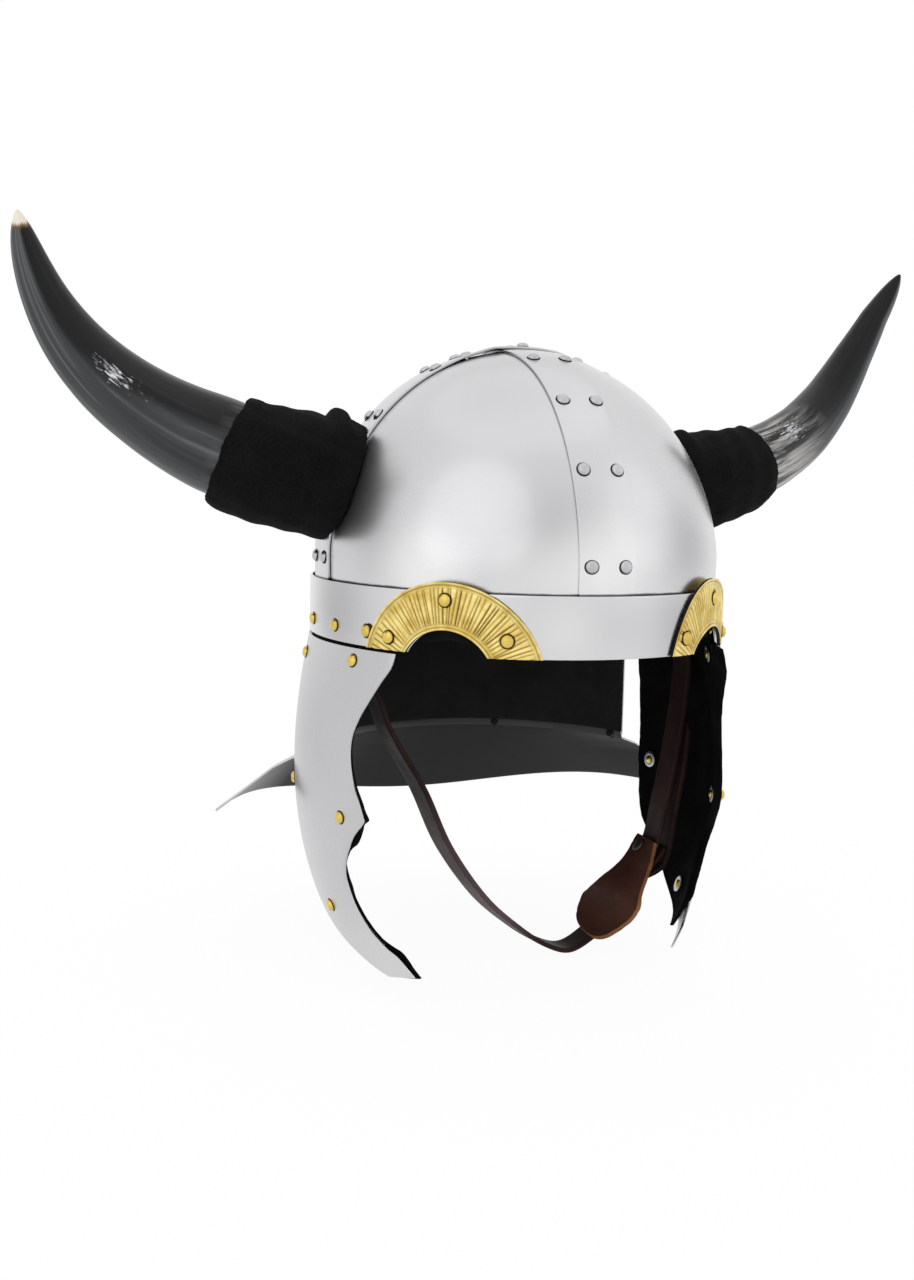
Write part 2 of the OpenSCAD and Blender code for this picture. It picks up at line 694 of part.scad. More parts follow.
module horn(right) {
    p = horn_line(right ? horn_tip_right : horn_tip_left);
    whole = horn_lengths(p)[40][0];
    hollow = 6;
    outer = 14;
    // Radius and ring at a share of the horn's length
    function at(s, wall) = horn_ring(p, horn_at(p, s * whole), horn_r(right, s) - wall, horn_n);
    inner_shares = [for (i = [hollow : -1 : 1]) horn_hollow * pow(i / hollow, 0.9)];
    rings = concat([for (i = [0 : hollow - 1]) let (s = inner_shares[i]) at(s, i == 0 ? horn_r(right, s) - 3 : horn_wall)],
        [root_ring(p, horn_r(right, 0) - horn_wall, horn_n), root_ring(p, horn_r(right, 0), horn_n)],
        [for (i = [1 : outer]) at(i == outer ? 0.994 : 1 - pow(1 - i / outer, 1.35), 0)]);
    color(horn_colour) mirrored(right) skin(rings);
}

module horn_right() {
    horn(true);
}

module horn_left() {
    horn(false);
}

// Seat of a horn's bolt on the ear-to-ear band
function bolt_seat(m) = let (p = on_bowl([ha, 0, horn_root_z], [1, 0, 0], band_out + bulge_h)) [m * p.x, p.y, p.z];

module horn_plug(right) {
    p = horn_line(right ? horn_tip_right : horn_tip_left);
    r = horn_r(right, 0) - horn_wall - plug_gap;
    m = right ? -1 : 1;
    color(wood) difference() {
        mirrored(right) skin([for (k = [0.04, 0.35, 0.7, 1]) root_ring(p, r * k, horn_n),
            for (k = [0.67, 1]) horn_ring(p, horn_at(p, plug_len * k), r - 0.8 * k, horn_n)]);
        along(bolt_seat(m), bowl_normal(bolt_seat(m)))
            translate([0, 0, -15]) cylinder(h = 15 + plug_len * 0.66, r = bolt_d / 2 + 0.1, $fn = 32);
    }
}

module horn_plug_right() {
    horn_plug(true);
}

module horn_plug_left() {
    horn_plug(false);
}

bolt_under = steel_t * 2 + lay_gap + 0.6;

module horn_bolts() {
    color(steel) for (m = [-1, 1]) along(bolt_seat(m), bowl_normal(bolt_seat(m))) {
        translate([0, 0, -bolt_under - 1.3]) cylinder(h = bolt_under + 1.3 + plug_len * 0.6, d = bolt_d, $fn = 32);
        translate([0, 0, -bolt_under - 1.4 - 3.2]) cylinder(h = 3.3, d = 9, $fn = 6);
    }
}

module horn_washers() {
    color(steel) for (m = [-1, 1]) along(bolt_seat(m), bowl_normal(bolt_seat(m)))
        translate([0, 0, -bolt_under - 1.2]) difference() {
            cylinder(h = 1.2, d = 12, $fn = 40);
            translate([0, 0, -1]) cylinder(h = 4, r = bolt_d / 2 + 0.1, $fn = 32);
        }
}

module horn_sleeve(right) {
    p = horn_line(right ? horn_tip_right : horn_tip_left);
    whole = horn_lengths(p)[40][0];
    flare = right ? sleeve_flare_right : sleeve_flare_left;
    sleeve_len = right ? sleeve_len_right : sleeve_len_left;
    steps = 6;
    n = 24;
    function radius(length, g) = horn_r(right, length / whole) + 0.35 + g
        + flare * pow(1 - length / sleeve_len, 1.6);
    function at(i, g) = let (length = sleeve_len * i / steps)
        i == 0 ? root_ring(p, radius(0, g), n) : horn_ring(p, horn_at(p, length), radius(length, g), n);
    color(black_leather) mirrored(right)
        skin(concat([for (i = [0 : steps]) at(i, suede_t)], [for (i = [steps : -1 : 0]) at(i, 0)]), loop = true);
}

module horn_sleeve_right() {
    horn_sleeve(true);
}

module horn_sleeve_left() {
    horn_sleeve(false);
}

module liner_band() {
    color(liner_leather) difference() {
        wall(liner_z, liner_z + liner_h, liner_out, liner_in);
        brow_holes();
        eyebrow_holes();
        for (m = [-1, 1]) facing(m * eye_angle, -eye_drop) translate([0, 0, -15]) cylinder(h = 30, r = 18.5, $fn = 48);
    }
}

// Point on the hammock of liner tongues
function hammock_pt(a, e, g) = [(ha + g) * cos(e) * sin(a), -(hb + g) * cos(e) * cos(a),
    liner_z + liner_h + hammock_h * sin(e)];

module liner_tongues() {
    n = 7;
    cols = 4;
    share = 0.4;
    function row(c, e, g) = [for (j = [0 : cols]) hammock_pt(c + 360 / tongues * share * (2 * j / cols - 1), e, g)];
    function foot(c, g) = [for (p = row(c, 0, g)) p - [0, 0, 6.5]];
    color(liner_leather) for (k = [0 : tongues - 1]) let (c = (k + 0.5) * 360 / tongues)
        skin(concat([sheet_ring(foot(c, tongue_out), foot(c, tongue_out - liner_t))],
            [for (i = [0 : n]) let (e = tongue_end * i / n) sheet_ring(row(c, e, tongue_out), row(c, e, tongue_out - liner_t))]));
}

module liner_lace() {
    e = tongue_end - 2;
    top = liner_z + liner_h + hammock_h * sin(e) + lace_d / 2 * tan(90 - e) + 0.3;
    function loop_ring(k) = [for (i = [0 : ring_n - 1]) let (a = i * 360 / ring_n)
        [((ha + tongue_out) * cos(e) + k) * sin(a), -((hb + tongue_out) * cos(e) + k) * cos(a)]];
    color(brown_leather) translate([0, 0, top]) linear_extrude(1.4) difference() {
        polygon(loop_ring(lace_d / 2));
        polygon(loop_ring(-lace_d / 2));
    }
}

// Chin strap, as points in the plane of its width: x and z
strap_y = -9.8;
// Length of a strap above its rivet
strap_end = 6;
strap_x = (ha + strap_out) * sqrt(1 - pow((strap_w / 2 - strap_y) / (hb + strap_out), 2)) - strap_t / 2 - lay_gap;
strap_grip = wall_pt(strap_angle, 0, 0).x - strap_x + strap_t / 2 + bend_gap;
bar_up = [ha - 27, -126];
bar_dir = [-0.64, -0.768];
bar_in = [-0.768, 0.64];
bar_low = bar_up + buckle_len * bar_dir;
wire_r = buckle_wire / 2;
// How far the long strap passes outside the upper bar and inside the lower one
over_bar = wire_r + strap_t * 1.5 + 1.6;
under_bar = wire_r + strap_t / 2 + 0.3;
long_route = smooth([[-strap_x, brow_rivet_z + strap_end], [-strap_x, 1], [14 - ha, -14], [26 - ha, -29],
    [32 - ha, -45], [39 - ha, -58],
    [-52, -80], [-38, -110], [-18, -138], [2, -157], [18, -168], [32, -172.5], [45, -165.5], [55, -155.2],
    bar_low + under_bar * bar_in, bar_up - over_bar * bar_in,
    bar_up - over_bar * bar_in - 10 * bar_dir, [ha - 11, -98], [ha - 6.8, -70], [ha - 5.1, -48]], 4);
// The short strap, which goes round the buckle's upper bar and back up on the outside
loop_r = wire_r + strap_t / 2 + 0.15;
short_route = concat(smooth([[strap_x, brow_rivet_z + strap_end], [strap_x, 1], [ha - 6.8, -17], [ha - 8.2, -38],
    [ha - 12, -66], [ha - 17.4, -94],
    bar_up + loop_r * bar_in - 12 * bar_dir, bar_up + loop_r * bar_in], 4),
    [for (k = [1 : 12]) bar_up + loop_r * (cos(15 * k) * bar_in + sin(15 * k) * bar_dir)],
    [for (k = [1 : 3]) bar_up - loop_r * bar_in - 4 * k * bar_dir]);

function route_normal(p, i) = let (d = p[min(i + 1, len(p) - 1)] - p[max(i - 1, 0)]) [-d.y, d.x] / norm(d);
function route_band(p, t) = concat([for (i = [0 : len(p) - 1]) p[i] + t / 2 * route_normal(p, i)],
    [for (i = [len(p) - 1 : -1 : 0]) p[i] - t / 2 * route_normal(p, i)]);

// Draws a shape given in x and z across a width along Y
module across(width) {
    translate([0, strap_y + width / 2, 0]) rotate([90, 0, 0]) linear_extrude(width) children();
}

module strap_anchor_hole() {
    for (m = [-1, 1]) facing(m * strap_angle, brow_rivet_z) shank_hole();
}

// Puts children at a bar of the buckle, with +X down the strap and +Z outwards
module at_bar(p) {
    translate([p.x, strap_y, p.y]) rotate([0, -atan2(bar_dir.y, bar_dir.x), 0]) children();
}

module chin_strap_long() {
    color(brown_leather) difference() {
        across(strap_w) polygon(route_band(long_route, strap_t));
        strap_anchor_hole();
        at_bar(bar_up) translate([2.5, -2.2, -12]) cube([12.5, 4.4, 24]);
    }
}

module chin_strap_short() {
    color(brown_leather) difference() {
        across(strap_w) polygon(route_band(short_route, strap_t));
        strap_anchor_hole();
        at_bar(bar_up) translate([-5, -2.2, -12]) cube([10, 4.4, 24]);
        shield_rivet_at() translate([0, 0, -12]) cylinder(h = 24, r = hole_r, $fn = 24);
    }
}

module buckle_frame() {
    half = strap_w / 2 + 1 + wire_r;
    color(brass) at_bar(bar_up) {
        for (x = [0, buckle_len]) translate([x, half, 0]) rotate([90, 0, 0]) cylinder(h = 2 * half, r = wire_r, $fn = 24);
        for (y = [-half, half]) translate([0, y, 0]) rotate([0, 90, 0]) cylinder(h = buckle_len, r = wire_r, $fn = 24);
        for (x = [0, buckle_len], y = [-half, half]) translate([x, y, 0]) sphere(wire_r, $fn = 24);
    }
}

module buckle_prong() {
    r = wire_r + eye_play;
    lift = wire_r + prong_d / 2 + 0.3;
    color(brass) at_bar(bar_up) difference() {
        union() {
            translate([0, 1.7, 0]) rotate([90, 0, 0]) cylinder(h = 3.4, r = r + 1.3, $fn = 48);
            rotate([0, -atan2(lift, buckle_len), 0]) translate([r, 0, 0]) rotate([0, 90, 0])
                cylinder(h = norm([buckle_len, lift]) + 2 - r, d = prong_d, $fn = 24);
        }
        translate([0, 5, 0]) rotate([90, 0, 0]) cylinder(h = 10, r = r, $fn = 48);
    }
}

// Middle line of the shield, from above the buckle down inside the strap
shield_lift = wire_r + strap_t + 0.5 + shield_t / 2;
shield_line = smooth([[bar_up.x, bar_up.y] + (shield_lift + 0.1) * bar_in - 11 * bar_dir,
    bar_up + (shield_lift + 0.3) * bar_in, bar_low + (shield_lift + 2.5) * bar_in,
    bar_low + [-11.24, -6.61], bar_low + [-17.84, -15.41], bar_low + [-23.84, -19.91]], 4);

module shield_rivet_at() {
    q = bar_up - 5 * bar_dir;
    translate([q.x, strap_y, q.y]) rotate([0, -atan2(bar_in.y, bar_in.x) + 90, 0]) children();
}

module buckle_shield() {
    n = len(shield_line) - 1;
    function half_w(f) = f < 0.55 ? 10 + (shield_w / 2 - 10) * smooth_step(f / 0.55)
        : shield_w / 2 * sqrt(max(0.06, 1 - pow((f - 0.55) / 0.462, 2)));
    function at(i, u, g) = let (m = route_normal(shield_line, i), turn = -17 * smooth_step(i / n / 0.7),
        w = half_w(i / n) * u, q = shield_line[i] + m * (w * sin(turn) + g))
        [q.x, strap_y - shield_shift * smooth_step(i / n / 0.6) + w * cos(turn), q.y];
    color(shield_leather) difference() {
        skin([for (i = [0 : n]) sheet_ring([for (u = [-1, -0.5, 0, 0.5, 1]) at(i, u, shield_t / 2)],
            [for (u = [-1, -0.5, 0, 0.5, 1]) at(i, u, -shield_t / 2)])]);
        shield_rivet_at() translate([0, 0, -12]) cylinder(h = 24, r = hole_r, $fn = 24);
    }
}

module shield_rivet() {
    top = shield_lift + shield_t / 2 + 0.4;
    color(steel) shield_rivet_at() translate([0, 0, top]) rivet(steel_head_d, top + wire_r + 0.15 + strap_t + 0.1);
}

skull_panel_front_right();
skull_panel_front_left();
skull_panel_rear_right();
skull_panel_rear_left();
brow_band();
front_back_band();
ear_to_ear_band();
band_rivets();
eyebrow_plate_right();
eyebrow_plate_left();
eyebrow_rivets();
brow_rivets();
hinge_leather_right();
hinge_leather_left();
hinge_leather_neck();
cheek_plate_right();
cheek_plate_left();
cheek_lining_right();
cheek_lining_left();
cheek_rivets_right();
cheek_rivets_left();
cheek_washers_right();
cheek_washers_left();
neck_plate();
neck_lining();
neck_flare();
neck_rivets();
horn_right();
horn_left();
horn_plug_right();
horn_plug_left();
horn_bolts();
horn_washers();
horn_sleeve_right();
horn_sleeve_left();
liner_band();
liner_tongues();
liner_lace();
chin_strap_long();
chin_strap_short();
buckle_frame();
buckle_prong();
buckle_shield();
shield_rivet();
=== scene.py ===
import math
import random

import bmesh
import bpy
import numpy as np
from mathutils import Matrix, Vector


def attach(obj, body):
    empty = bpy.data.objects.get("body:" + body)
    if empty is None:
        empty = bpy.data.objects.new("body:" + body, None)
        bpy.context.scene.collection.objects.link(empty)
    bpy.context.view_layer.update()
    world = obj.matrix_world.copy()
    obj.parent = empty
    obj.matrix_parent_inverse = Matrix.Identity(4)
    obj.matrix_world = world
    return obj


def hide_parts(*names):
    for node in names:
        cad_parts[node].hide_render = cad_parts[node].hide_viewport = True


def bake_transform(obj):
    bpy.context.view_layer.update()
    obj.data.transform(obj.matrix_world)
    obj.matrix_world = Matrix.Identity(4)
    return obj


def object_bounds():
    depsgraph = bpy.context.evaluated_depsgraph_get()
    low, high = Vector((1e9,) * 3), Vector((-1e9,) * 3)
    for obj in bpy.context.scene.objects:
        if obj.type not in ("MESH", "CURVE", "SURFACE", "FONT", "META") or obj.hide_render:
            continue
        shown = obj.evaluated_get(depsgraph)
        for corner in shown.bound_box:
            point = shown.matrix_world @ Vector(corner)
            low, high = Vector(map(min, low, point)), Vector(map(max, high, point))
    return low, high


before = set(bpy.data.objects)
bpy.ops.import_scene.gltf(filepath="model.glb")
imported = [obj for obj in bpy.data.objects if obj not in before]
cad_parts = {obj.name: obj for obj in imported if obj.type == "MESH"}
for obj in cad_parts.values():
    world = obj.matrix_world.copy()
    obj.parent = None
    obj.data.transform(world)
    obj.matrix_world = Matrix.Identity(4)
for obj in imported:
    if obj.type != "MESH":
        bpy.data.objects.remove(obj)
CAD_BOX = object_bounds()

# Sizes in millimetres, as in the part's source.
MM = 0.001
HALF_WIDTH = 104.0
HALF_LENGTH = 118.0
CROWN = 147.0
BROW = 28.5
STEEL = 1.2
LAY = 0.2
FULLNESS = 2.07
TUCK = 10.0
BULGE = 1.2
PANEL_GAP = 1.2
BOWL_RISE = CROWN - BROW - STEEL
BAND_OUT = -STEEL - LAY
BAND_IN = BAND_OUT - STEEL
PANEL_OUT = BAND_IN - LAY
PANEL_IN = PANEL_OUT - STEEL
LEATHER = 2.0
LEATHER_IN = BAND_OUT - LEATHER
LINER = 1.6
LINER_OUT = min(PANEL_IN, LEATHER_IN) - LAY
LINER_IN = LINER_OUT - LINER
TONGUE_OUT = LINER_IN - LAY
BAND_WIDTH = 28.0
SIDE_BAND_Y = 2.0
RIVET_ROW = 8.4
BAND_CLIMB = 12.0
EYE_ANGLE = 40.4
EYE_DROP = 12.0
EYE_R = 23.5
EYEBROW_R = 45.2
BRASS = 0.9
GROOVES_TO = 76.0
GROOVE_STEP = 3.3
STEEL_HEAD = 6.2
BRASS_HEAD = 5.8
HEAD_H = 2.1
SHANK = 3.0
RIM_RING = 7
SEAT = 0.1
GUARD_GAP = 1.6
CHEEK_LEN = 160.5
CHEEK_FRONT = 54.1
CHEEK_REAR = 110.4
CHEEK_LUG = 60.4
LUG_DEPTH = 81.4
CHEEK_LEAN = 31.0
CHEEK_CURL = 46.0
CHEEK_GAP = 0.5
NECK_HALF = 64.0
NECK_H = 70.5
FLANGE_H = 4.8
FLARE_W = 64.0
FLARE_DROP = 33.5
FLARE_DIP = 12.0
FLARE_DIP_ANGLE = 50.0
HORN_ROOT = 78.0
HORN_REACH = 245.0
HORN_BACK = 19.0
HORN_LEAVE = np.array([50.0, -10.0, 13.0])
HORN_BEND = np.array([-19.0, 66.0, 106.0])
HORN_TURNS = 72
HORN_HOLLOW = 0.55
HORN_WALL = 4.0
SUEDE = 1.8
STRAP_W = 17.0
STRAP_T = 2.6
STRAP_Y = -9.8
SHIELD_W = 33.0
SHIELD_SHIFT = 6.0
SHIELD_T = 2.4
WIRE = 1.6
BUCKLE_LEN = 19.0
PRONG_R = 1.2
PRONG_EYE = 0.68
PRONG_PLAY = 0.06
LINER_Z = 5.0
LINER_H = 31.0
LINER_EYE_R = 18.5
TONGUES = 8
HAMMOCK_H = 82.0
TONGUE_END = 72.0

CHEEK_EDGE = [[GUARD_GAP, 0.1], [8, 0.9], [15.6, 3.6], [24.4, 6.5], [33.7, 9.4], [43.8, 11.4],
              [53.9, 11.4], [63.9, 10.1], [72.5, 8.1], [LUG_DEPTH, CHEEK_LUG - CHEEK_FRONT]]
CHEEK_HOLLOW = [[0, 0], [2.4, 0.8], [10.4, 4.1], [20.5, 7.3], [30, 8.9], [38, 8.5], [47.2, 7.1],
                [56.6, 3.7], [64.6, -1.3], [68.6, -5.2], [76.1, -9.0]]
CHEEK_ROUND = [[81.4, 0], [88, 0.6], [97, 1.2], [106, 2.6], [114, 4.4], [123, 8], [134, 12.5],
               [144, 17.5], [152.5, 26], [159, 37], [162.3, 47.5]]
CHEEK_RIVETS = [[100.1, 11], [68.2, 7.5], [106, 79.6], [68.8, 83], [82, 135]]
# The left guard's lower rivet, as angle and depth, and by how many degrees its tip is narrower.
LEFT_LOW_RIVET = [77.5, 138]
NARROW_LEFT = [[112, 0], [122, 2.0], [132, 5.2], [139, 8.2], [143, 10.4], [146, 13.0], [149.5, 15.2],
               [153, 16.6], [156, 16.0], [159, 14.0], [162.3, 9.5]]
# By depth: the degrees by which each leather shows past the front edge of its guard.
SHOW_RIGHT = [[0, -0.7], [50, -1.0], [66, -0.9], [74, -0.2], [79, 0.0], [81, 0.4], [84, -0.5], [89, 0.7],
              [95, 1.2], [99, -0.6], [108, -1.5], [113, -0.8], [118, -0.2], [124, -0.7], [131, -0.4],
              [140, -0.6], [144, -0.2], [147, 2.5], [150, 1.8], [154, 0.9], [158, 1.1], [165, 1.8]]
SHOW_LEFT = [[0, 3.6], [8, 3.1], [16, 1.9], [24, 1.3], [60, 1.2], [80, 1.4], [100, 1.3], [136, 1.0],
             [140, -0.6], [144, -3.6], [148, -6.8], [152, -9.5], [165, -12.0]]
# By depth: the millimetres by which the left guard's front edge curls in, and its leather stands out.
CURL_LEFT = [[0, -1.2], [14, -1.0], [24, 0.6], [40, 1.9], [90, 2.1], [165, 2.0]]
PUSH_LEFT = [[0, 3.4], [5, 3.6], [18, 3.0], [30, 1.9], [60, 1.7], [135, 1.7], [145, 0], [160, 0]]
# By share of the flare's width: the millimetres by which its two ends are lifted.
FLARE_LIFT = [[0, 0], [0.2, 3.2], [0.38, 4.2], [0.52, 3.3], [1, 0]]
# By share of the horn's length: where its middle line leaves the plain curve.
HORN_BOW = [0, 0.25, 0.4, 0.52, 0.66, 0.8, 0.9, 1]
DISC = [(1.62, -0.05), (3.2, -0.12), (4.1, -0.1), (4.45, 0.1), (4.5, 0.4), (4.42, 0.7), (4.2, 0.8),
        (1.7, 0.8), (1.62, 0.7), (1.62, -0.05)]
BROW_RIVETS = [63.5, 77.7, 94.4, 122, 141, 160.5]
BROW_RIVET_Z = 7.5
# How far each eyebrow plate's outer rivets stand from its middle one, in degrees, and their heights.
EYEBROW_TURN = 15.4
EYEBROW_RIVETS_Z = (8.0, 25.0, 6.0)
# Rivets along both bands of the bowl, in degrees from the brow.
LENGTHWISE_RIVETS = (6, 28, 48.5, 70)
CROSSWISE_RIVETS = (5, 43.5, 64, 73.5, 90)
# Neck rivets: degrees from the middle of the back, for the flare's row and for the hinge's row.
FLARE_RIVETS = (-60, -20, 20, 60)
NECK_RIVETS = (-52, -18, 18, 52)
NECK_RIVET_Z = -12
STRAP_ANGLE = 94.4
# The leathers' upper edge, and the hair's breadth that keeps them off the band.
HINGE_TOP = BROW - TUCK - 2
HAIR = 0.05
# The outer band's front edge stands off by this much, at this place and over this width.
STAND_OFF = 1.1
STAND_AT = -27
STAND_WIDTH = 13
# The right guard's tip reaches lower than the solid, and the left guard's tip ends higher.
TIP_LOWER_RIGHT = 2.4
TIP_HIGHER_LEFT = 4.5
# The eyebrow plates' raised rim: its width and height, and the depth of its groove.
RIM_WIDTH = 2.2
RIM_HEIGHT = 0.62
RIM_GROOVE = 0.28
# Sleeves, right and left: length along the horn, and how far they flare towards the bowl.
SLEEVE_LENGTHS = (52.5, 46.5)
SLEEVE_FLARES = (2.0, 4.2)

FLOOR_REACH = 30.0
SEED = 7
dice = random.Random(SEED)


# Shapes shared with the part's source

def stack(x, y, z):
    return np.stack(np.broadcast_arrays(x, y, z), -1).astype(float)


def smooth_step(t):
    c = np.clip(t, 0, 1)
    return c * c * (3 - 2 * c)


def ease(t):
    return float(smooth_step(t))


def read_table(table, value):
    """Interpolates in a list of pairs."""
    return float(np.interp(value, [row[0] for row in table], [row[1] for row in table]))


def wall_pt(angle, z, offset):
    a = np.radians(angle)
    return stack((HALF_WIDTH + offset) * np.sin(a), -(HALF_LENGTH + offset) * np.cos(a), z)


def wall_normal(angle):
    a = np.radians(angle)
    n = np.array([np.sin(a) / HALF_WIDTH, -np.cos(a) / HALF_LENGTH, 0.0])
    return n / np.linalg.norm(n)


def rise(r):
    return BOWL_RISE * np.maximum(0, 1 - np.minimum(1, r) ** FULLNESS) ** (1 / FULLNESS)


def bowl_from(px, py, offset):
    h = rise(np.hypot(px, py))
    o = offset + BULGE * smooth_step(h / 22)
    return stack((HALF_WIDTH + o) * px, (HALF_LENGTH + o) * py, BROW + h * (1 + o / BOWL_RISE))


def panel_pt(f, elevation, offset):
    r = np.cos(np.radians(elevation)) ** (2 / FULLNESS)
    a0 = np.arcsin(PANEL_GAP / 2 / (HALF_WIDTH * r))
    a1 = math.pi / 2 - np.arcsin(PANEL_GAP / 2 / (HALF_LENGTH * r))
    a = a0 + (a1 - a0) * f
    return bowl_from(r * np.sin(a), r * np.cos(a), offset)


def strip_pt(side, u, turn, offset):
    half = HALF_LENGTH if side else HALF_WIDTH
    k = np.sqrt(1 - (u / half) ** 2)
    c = np.cos(np.radians(turn))
    r = k * np.sign(c) * np.abs(c) ** (2 / FULLNESS)
    if side:
        return bowl_from(r, u / half, offset)
    return bowl_from(u / half, r, offset)


def climb(x):
    return BAND_OUT + (STEEL + LAY) * (1 - smooth_step((np.abs(x) - BAND_WIDTH / 2 - 1.5) / BAND_CLIMB))


def bowl_normal(p):
    r = math.hypot(p[0] / HALF_WIDTH, p[1] / HALF_LENGTH)
    k = r ** (FULLNESS - 2)
    n = np.array([k * p[0] / HALF_WIDTH ** 2, k * p[1] / HALF_LENGTH ** 2,
                  max(p[2] - BROW, 0) ** (FULLNESS - 1) / BOWL_RISE ** FULLNESS])
    return n / np.linalg.norm(n)


def bowl_level(p, offset):
    return (math.hypot(p[0] / (HALF_WIDTH + offset), p[1] / (HALF_LENGTH + offset)) ** FULLNESS
            + (max(p[2] - BROW, 0) / (BOWL_RISE + offset)) ** FULLNESS - 1)


def on_bowl(p, direction, offset):
    for _ in range(8):
        f = bowl_level(p, offset)
        slope = (bowl_level(p + 0.01 * direction, offset) - f) / 0.01
        p = p - direction * f / slope
    return p


def unit(v):
    return v / np.linalg.norm(v)


def outward(point):
    """Level direction from the middle of the helmet to a point."""
    return unit(np.array([point[0], point[1], 0.0]))


def run_along(route):
    """Length along a line of points, at each point."""
    return np.concatenate([[0], np.cumsum(np.linalg.norm(np.diff(route, axis=0), axis=1))])


def through(points, steps):
    p = np.array(points, float)
    rows = []
    for i in range(len(p) - 1):
        a = p[max(i - 1, 0)]
        b = p[i]
        c = p[i + 1]
        d = p[min(i + 2, len(p) - 1)]
        for k in range(steps):
            t = k / steps
            rows.append(0.5 * (2 * b + (c - a) * t + (2 * a - 5 * b + 4 * c - d) * t * t
                               + (3 * b - a - 3 * c + d) * t ** 3))
    rows.append(p[-1])
    return np.array(rows)


def cheek_size(depth):
    v = depth / CHEEK_LEN
    return 1 + (CHEEK_LEAN * v - CHEEK_CURL * v * v * (0.48 + 0.52 * v)) / HALF_WIDTH


def cheek_pt(angle, depth, offset):
    s = cheek_size(depth)
    a = np.radians(angle)
    return stack((HALF_WIDTH * s + offset) * np.sin(a), -(HALF_LENGTH * s + offset) * np.cos(a), -depth)


def cheek_normal(angle, depth):
    across = cheek_pt(angle + 0.1, depth, 0) - cheek_pt(angle - 0.1, depth, 0)
    down = cheek_pt(angle, depth - 0.1, 0) - cheek_pt(angle, depth + 0.1, 0)
    return unit(np.cross(across, down))


def flare_pt(angle, f, offset):
    drop = FLARE_DROP
    if abs(angle) < FLARE_DIP_ANGLE:
        drop += FLARE_DIP * math.cos(math.radians(90 * angle / FLARE_DIP_ANGLE)) ** 2
    out = math.sqrt(FLARE_W ** 2 - drop ** 2)
    tilt = math.atan2(out, drop)
    n = wall_normal(180 + angle)
    w = wall_pt(180 + angle, -NECK_H, BAND_OUT)
    return w + (out * f - offset * math.cos(tilt)) * n + np.array([0, 0, -drop * f - offset * math.sin(tilt)])


def mirrored(points, right):
    if not right:
        return points
    return points * np.array([-1.0, 1.0, 1.0])


# Mesh tools

def new_object(name, points, faces, material, uvs=None, sharp=35):
    mesh = bpy.data.meshes.new(name)
    mesh.from_pydata([tuple(p) for p in np.asarray(points, float) * MM], [], faces)
    mesh.validate()
    if uvs is not None:
        layer = mesh.uv_layers.new(name="UVMap")
        index = np.zeros(len(mesh.loops), dtype=np.int32)
        mesh.loops.foreach_get("vertex_index", index)
        layer.data.foreach_set("uv", np.asarray(uvs, np.float32)[index].ravel())
    obj = bpy.data.objects.new(name, mesh)
    bpy.context.scene.collection.objects.link(obj)
    tidy_mesh(mesh)
    shade(mesh, sharp)
    mesh.materials.append(material)
    return obj


def tidy_mesh(mesh):
    bm = bmesh.new()
    bm.from_mesh(mesh)
    bmesh.ops.recalc_face_normals(bm, faces=bm.faces)
    bm.to_mesh(mesh)
    bm.free()


def shade(mesh, sharp):
    mesh.shade_smooth()
    if sharp:
        mesh.set_sharp_from_angle(angle=math.radians(sharp))


def sheet_solid(name, outer, inner, material, bevel=0.25, segments=2, wrap=False, sharp=35):
    """Closed sheet between two grids of points, with its edges rounded off."""
    rows, cols = outer.shape[:2]
    count = rows * cols
    points = np.concatenate([outer.reshape(-1, 3), inner.reshape(-1, 3)])
    width = np.linalg.norm(np.diff(outer, axis=1), axis=2).mean(0).cumsum()
    length = np.linalg.norm(np.diff(outer, axis=0), axis=2).mean(1).cumsum()
    u = np.concatenate([[0], width]) / 100
    v = np.concatenate([[0], length]) / 100
    grid = np.stack(np.meshgrid(u, v), -1).reshape(-1, 2)
    uvs = np.concatenate([grid, grid])
    faces = []
    last = cols if wrap else cols - 1
    for i in range(rows - 1):
        for j in range(last):
            k = (j + 1) % cols
            a = i * cols + j
            b = i * cols + k
            c = (i + 1) * cols + k
            d = (i + 1) * cols + j
            faces.append((a, b, c, d))
            faces.append((a + count, d + count, c + count, b + count))
    for j in range(last):
        k = (j + 1) % cols
        for i in (0, rows - 1):
            a = i * cols + j
            b = i * cols + k
            faces.append((a, b, b + count, a + count))
    if not wrap:
        for i in range(rows - 1):
            for j in (0, cols - 1):
                a = i * cols + j
                d = (i + 1) * cols + j
                faces.append((a, d, d + count, a + count))
    obj = new_object(name, points, faces, material, uvs, 0)
    if bevel:
        round_edges(obj, bevel, segments)
    shade(obj.data, sharp)
    return obj


def round_edges(obj, width, segments=2, angle=50):
    mod = obj.modifiers.new("edge", "BEVEL")
    mod.width = width * MM
    mod.segments = segments
    mod.limit_method = "ANGLE"
    mod.angle_limit = math.radians(angle)
    mod.harden_normals = False
    apply_modifiers(obj)


def apply_modifiers(obj):
    depsgraph = bpy.context.evaluated_depsgraph_get()
    mesh = bpy.data.meshes.new_from_object(obj.evaluated_get(depsgraph))
    obj.modifiers.clear()
    obj.data = mesh
    shade(mesh, 35)


def cut(obj, cutter):
    mod = obj.modifiers.new("cut", "BOOLEAN")
    mod.operation = "DIFFERENCE"
    mod.solver = "EXACT"
    mod.object = cutter
    apply_modifiers(obj)
    bpy.data.objects.remove(cutter)


def ring_faces(n, m, start=0, loop=False):
    """Faces between n rings of m points each, from a first point on."""
    faces = []
    for i in range(n if loop else n - 1):
        a = start + i * m
        b = start + (i + 1) % n * m
        for j in range(m):
            k = (j + 1) % m
            faces.append((a + j, a + k, b + k, b + j))
    return faces


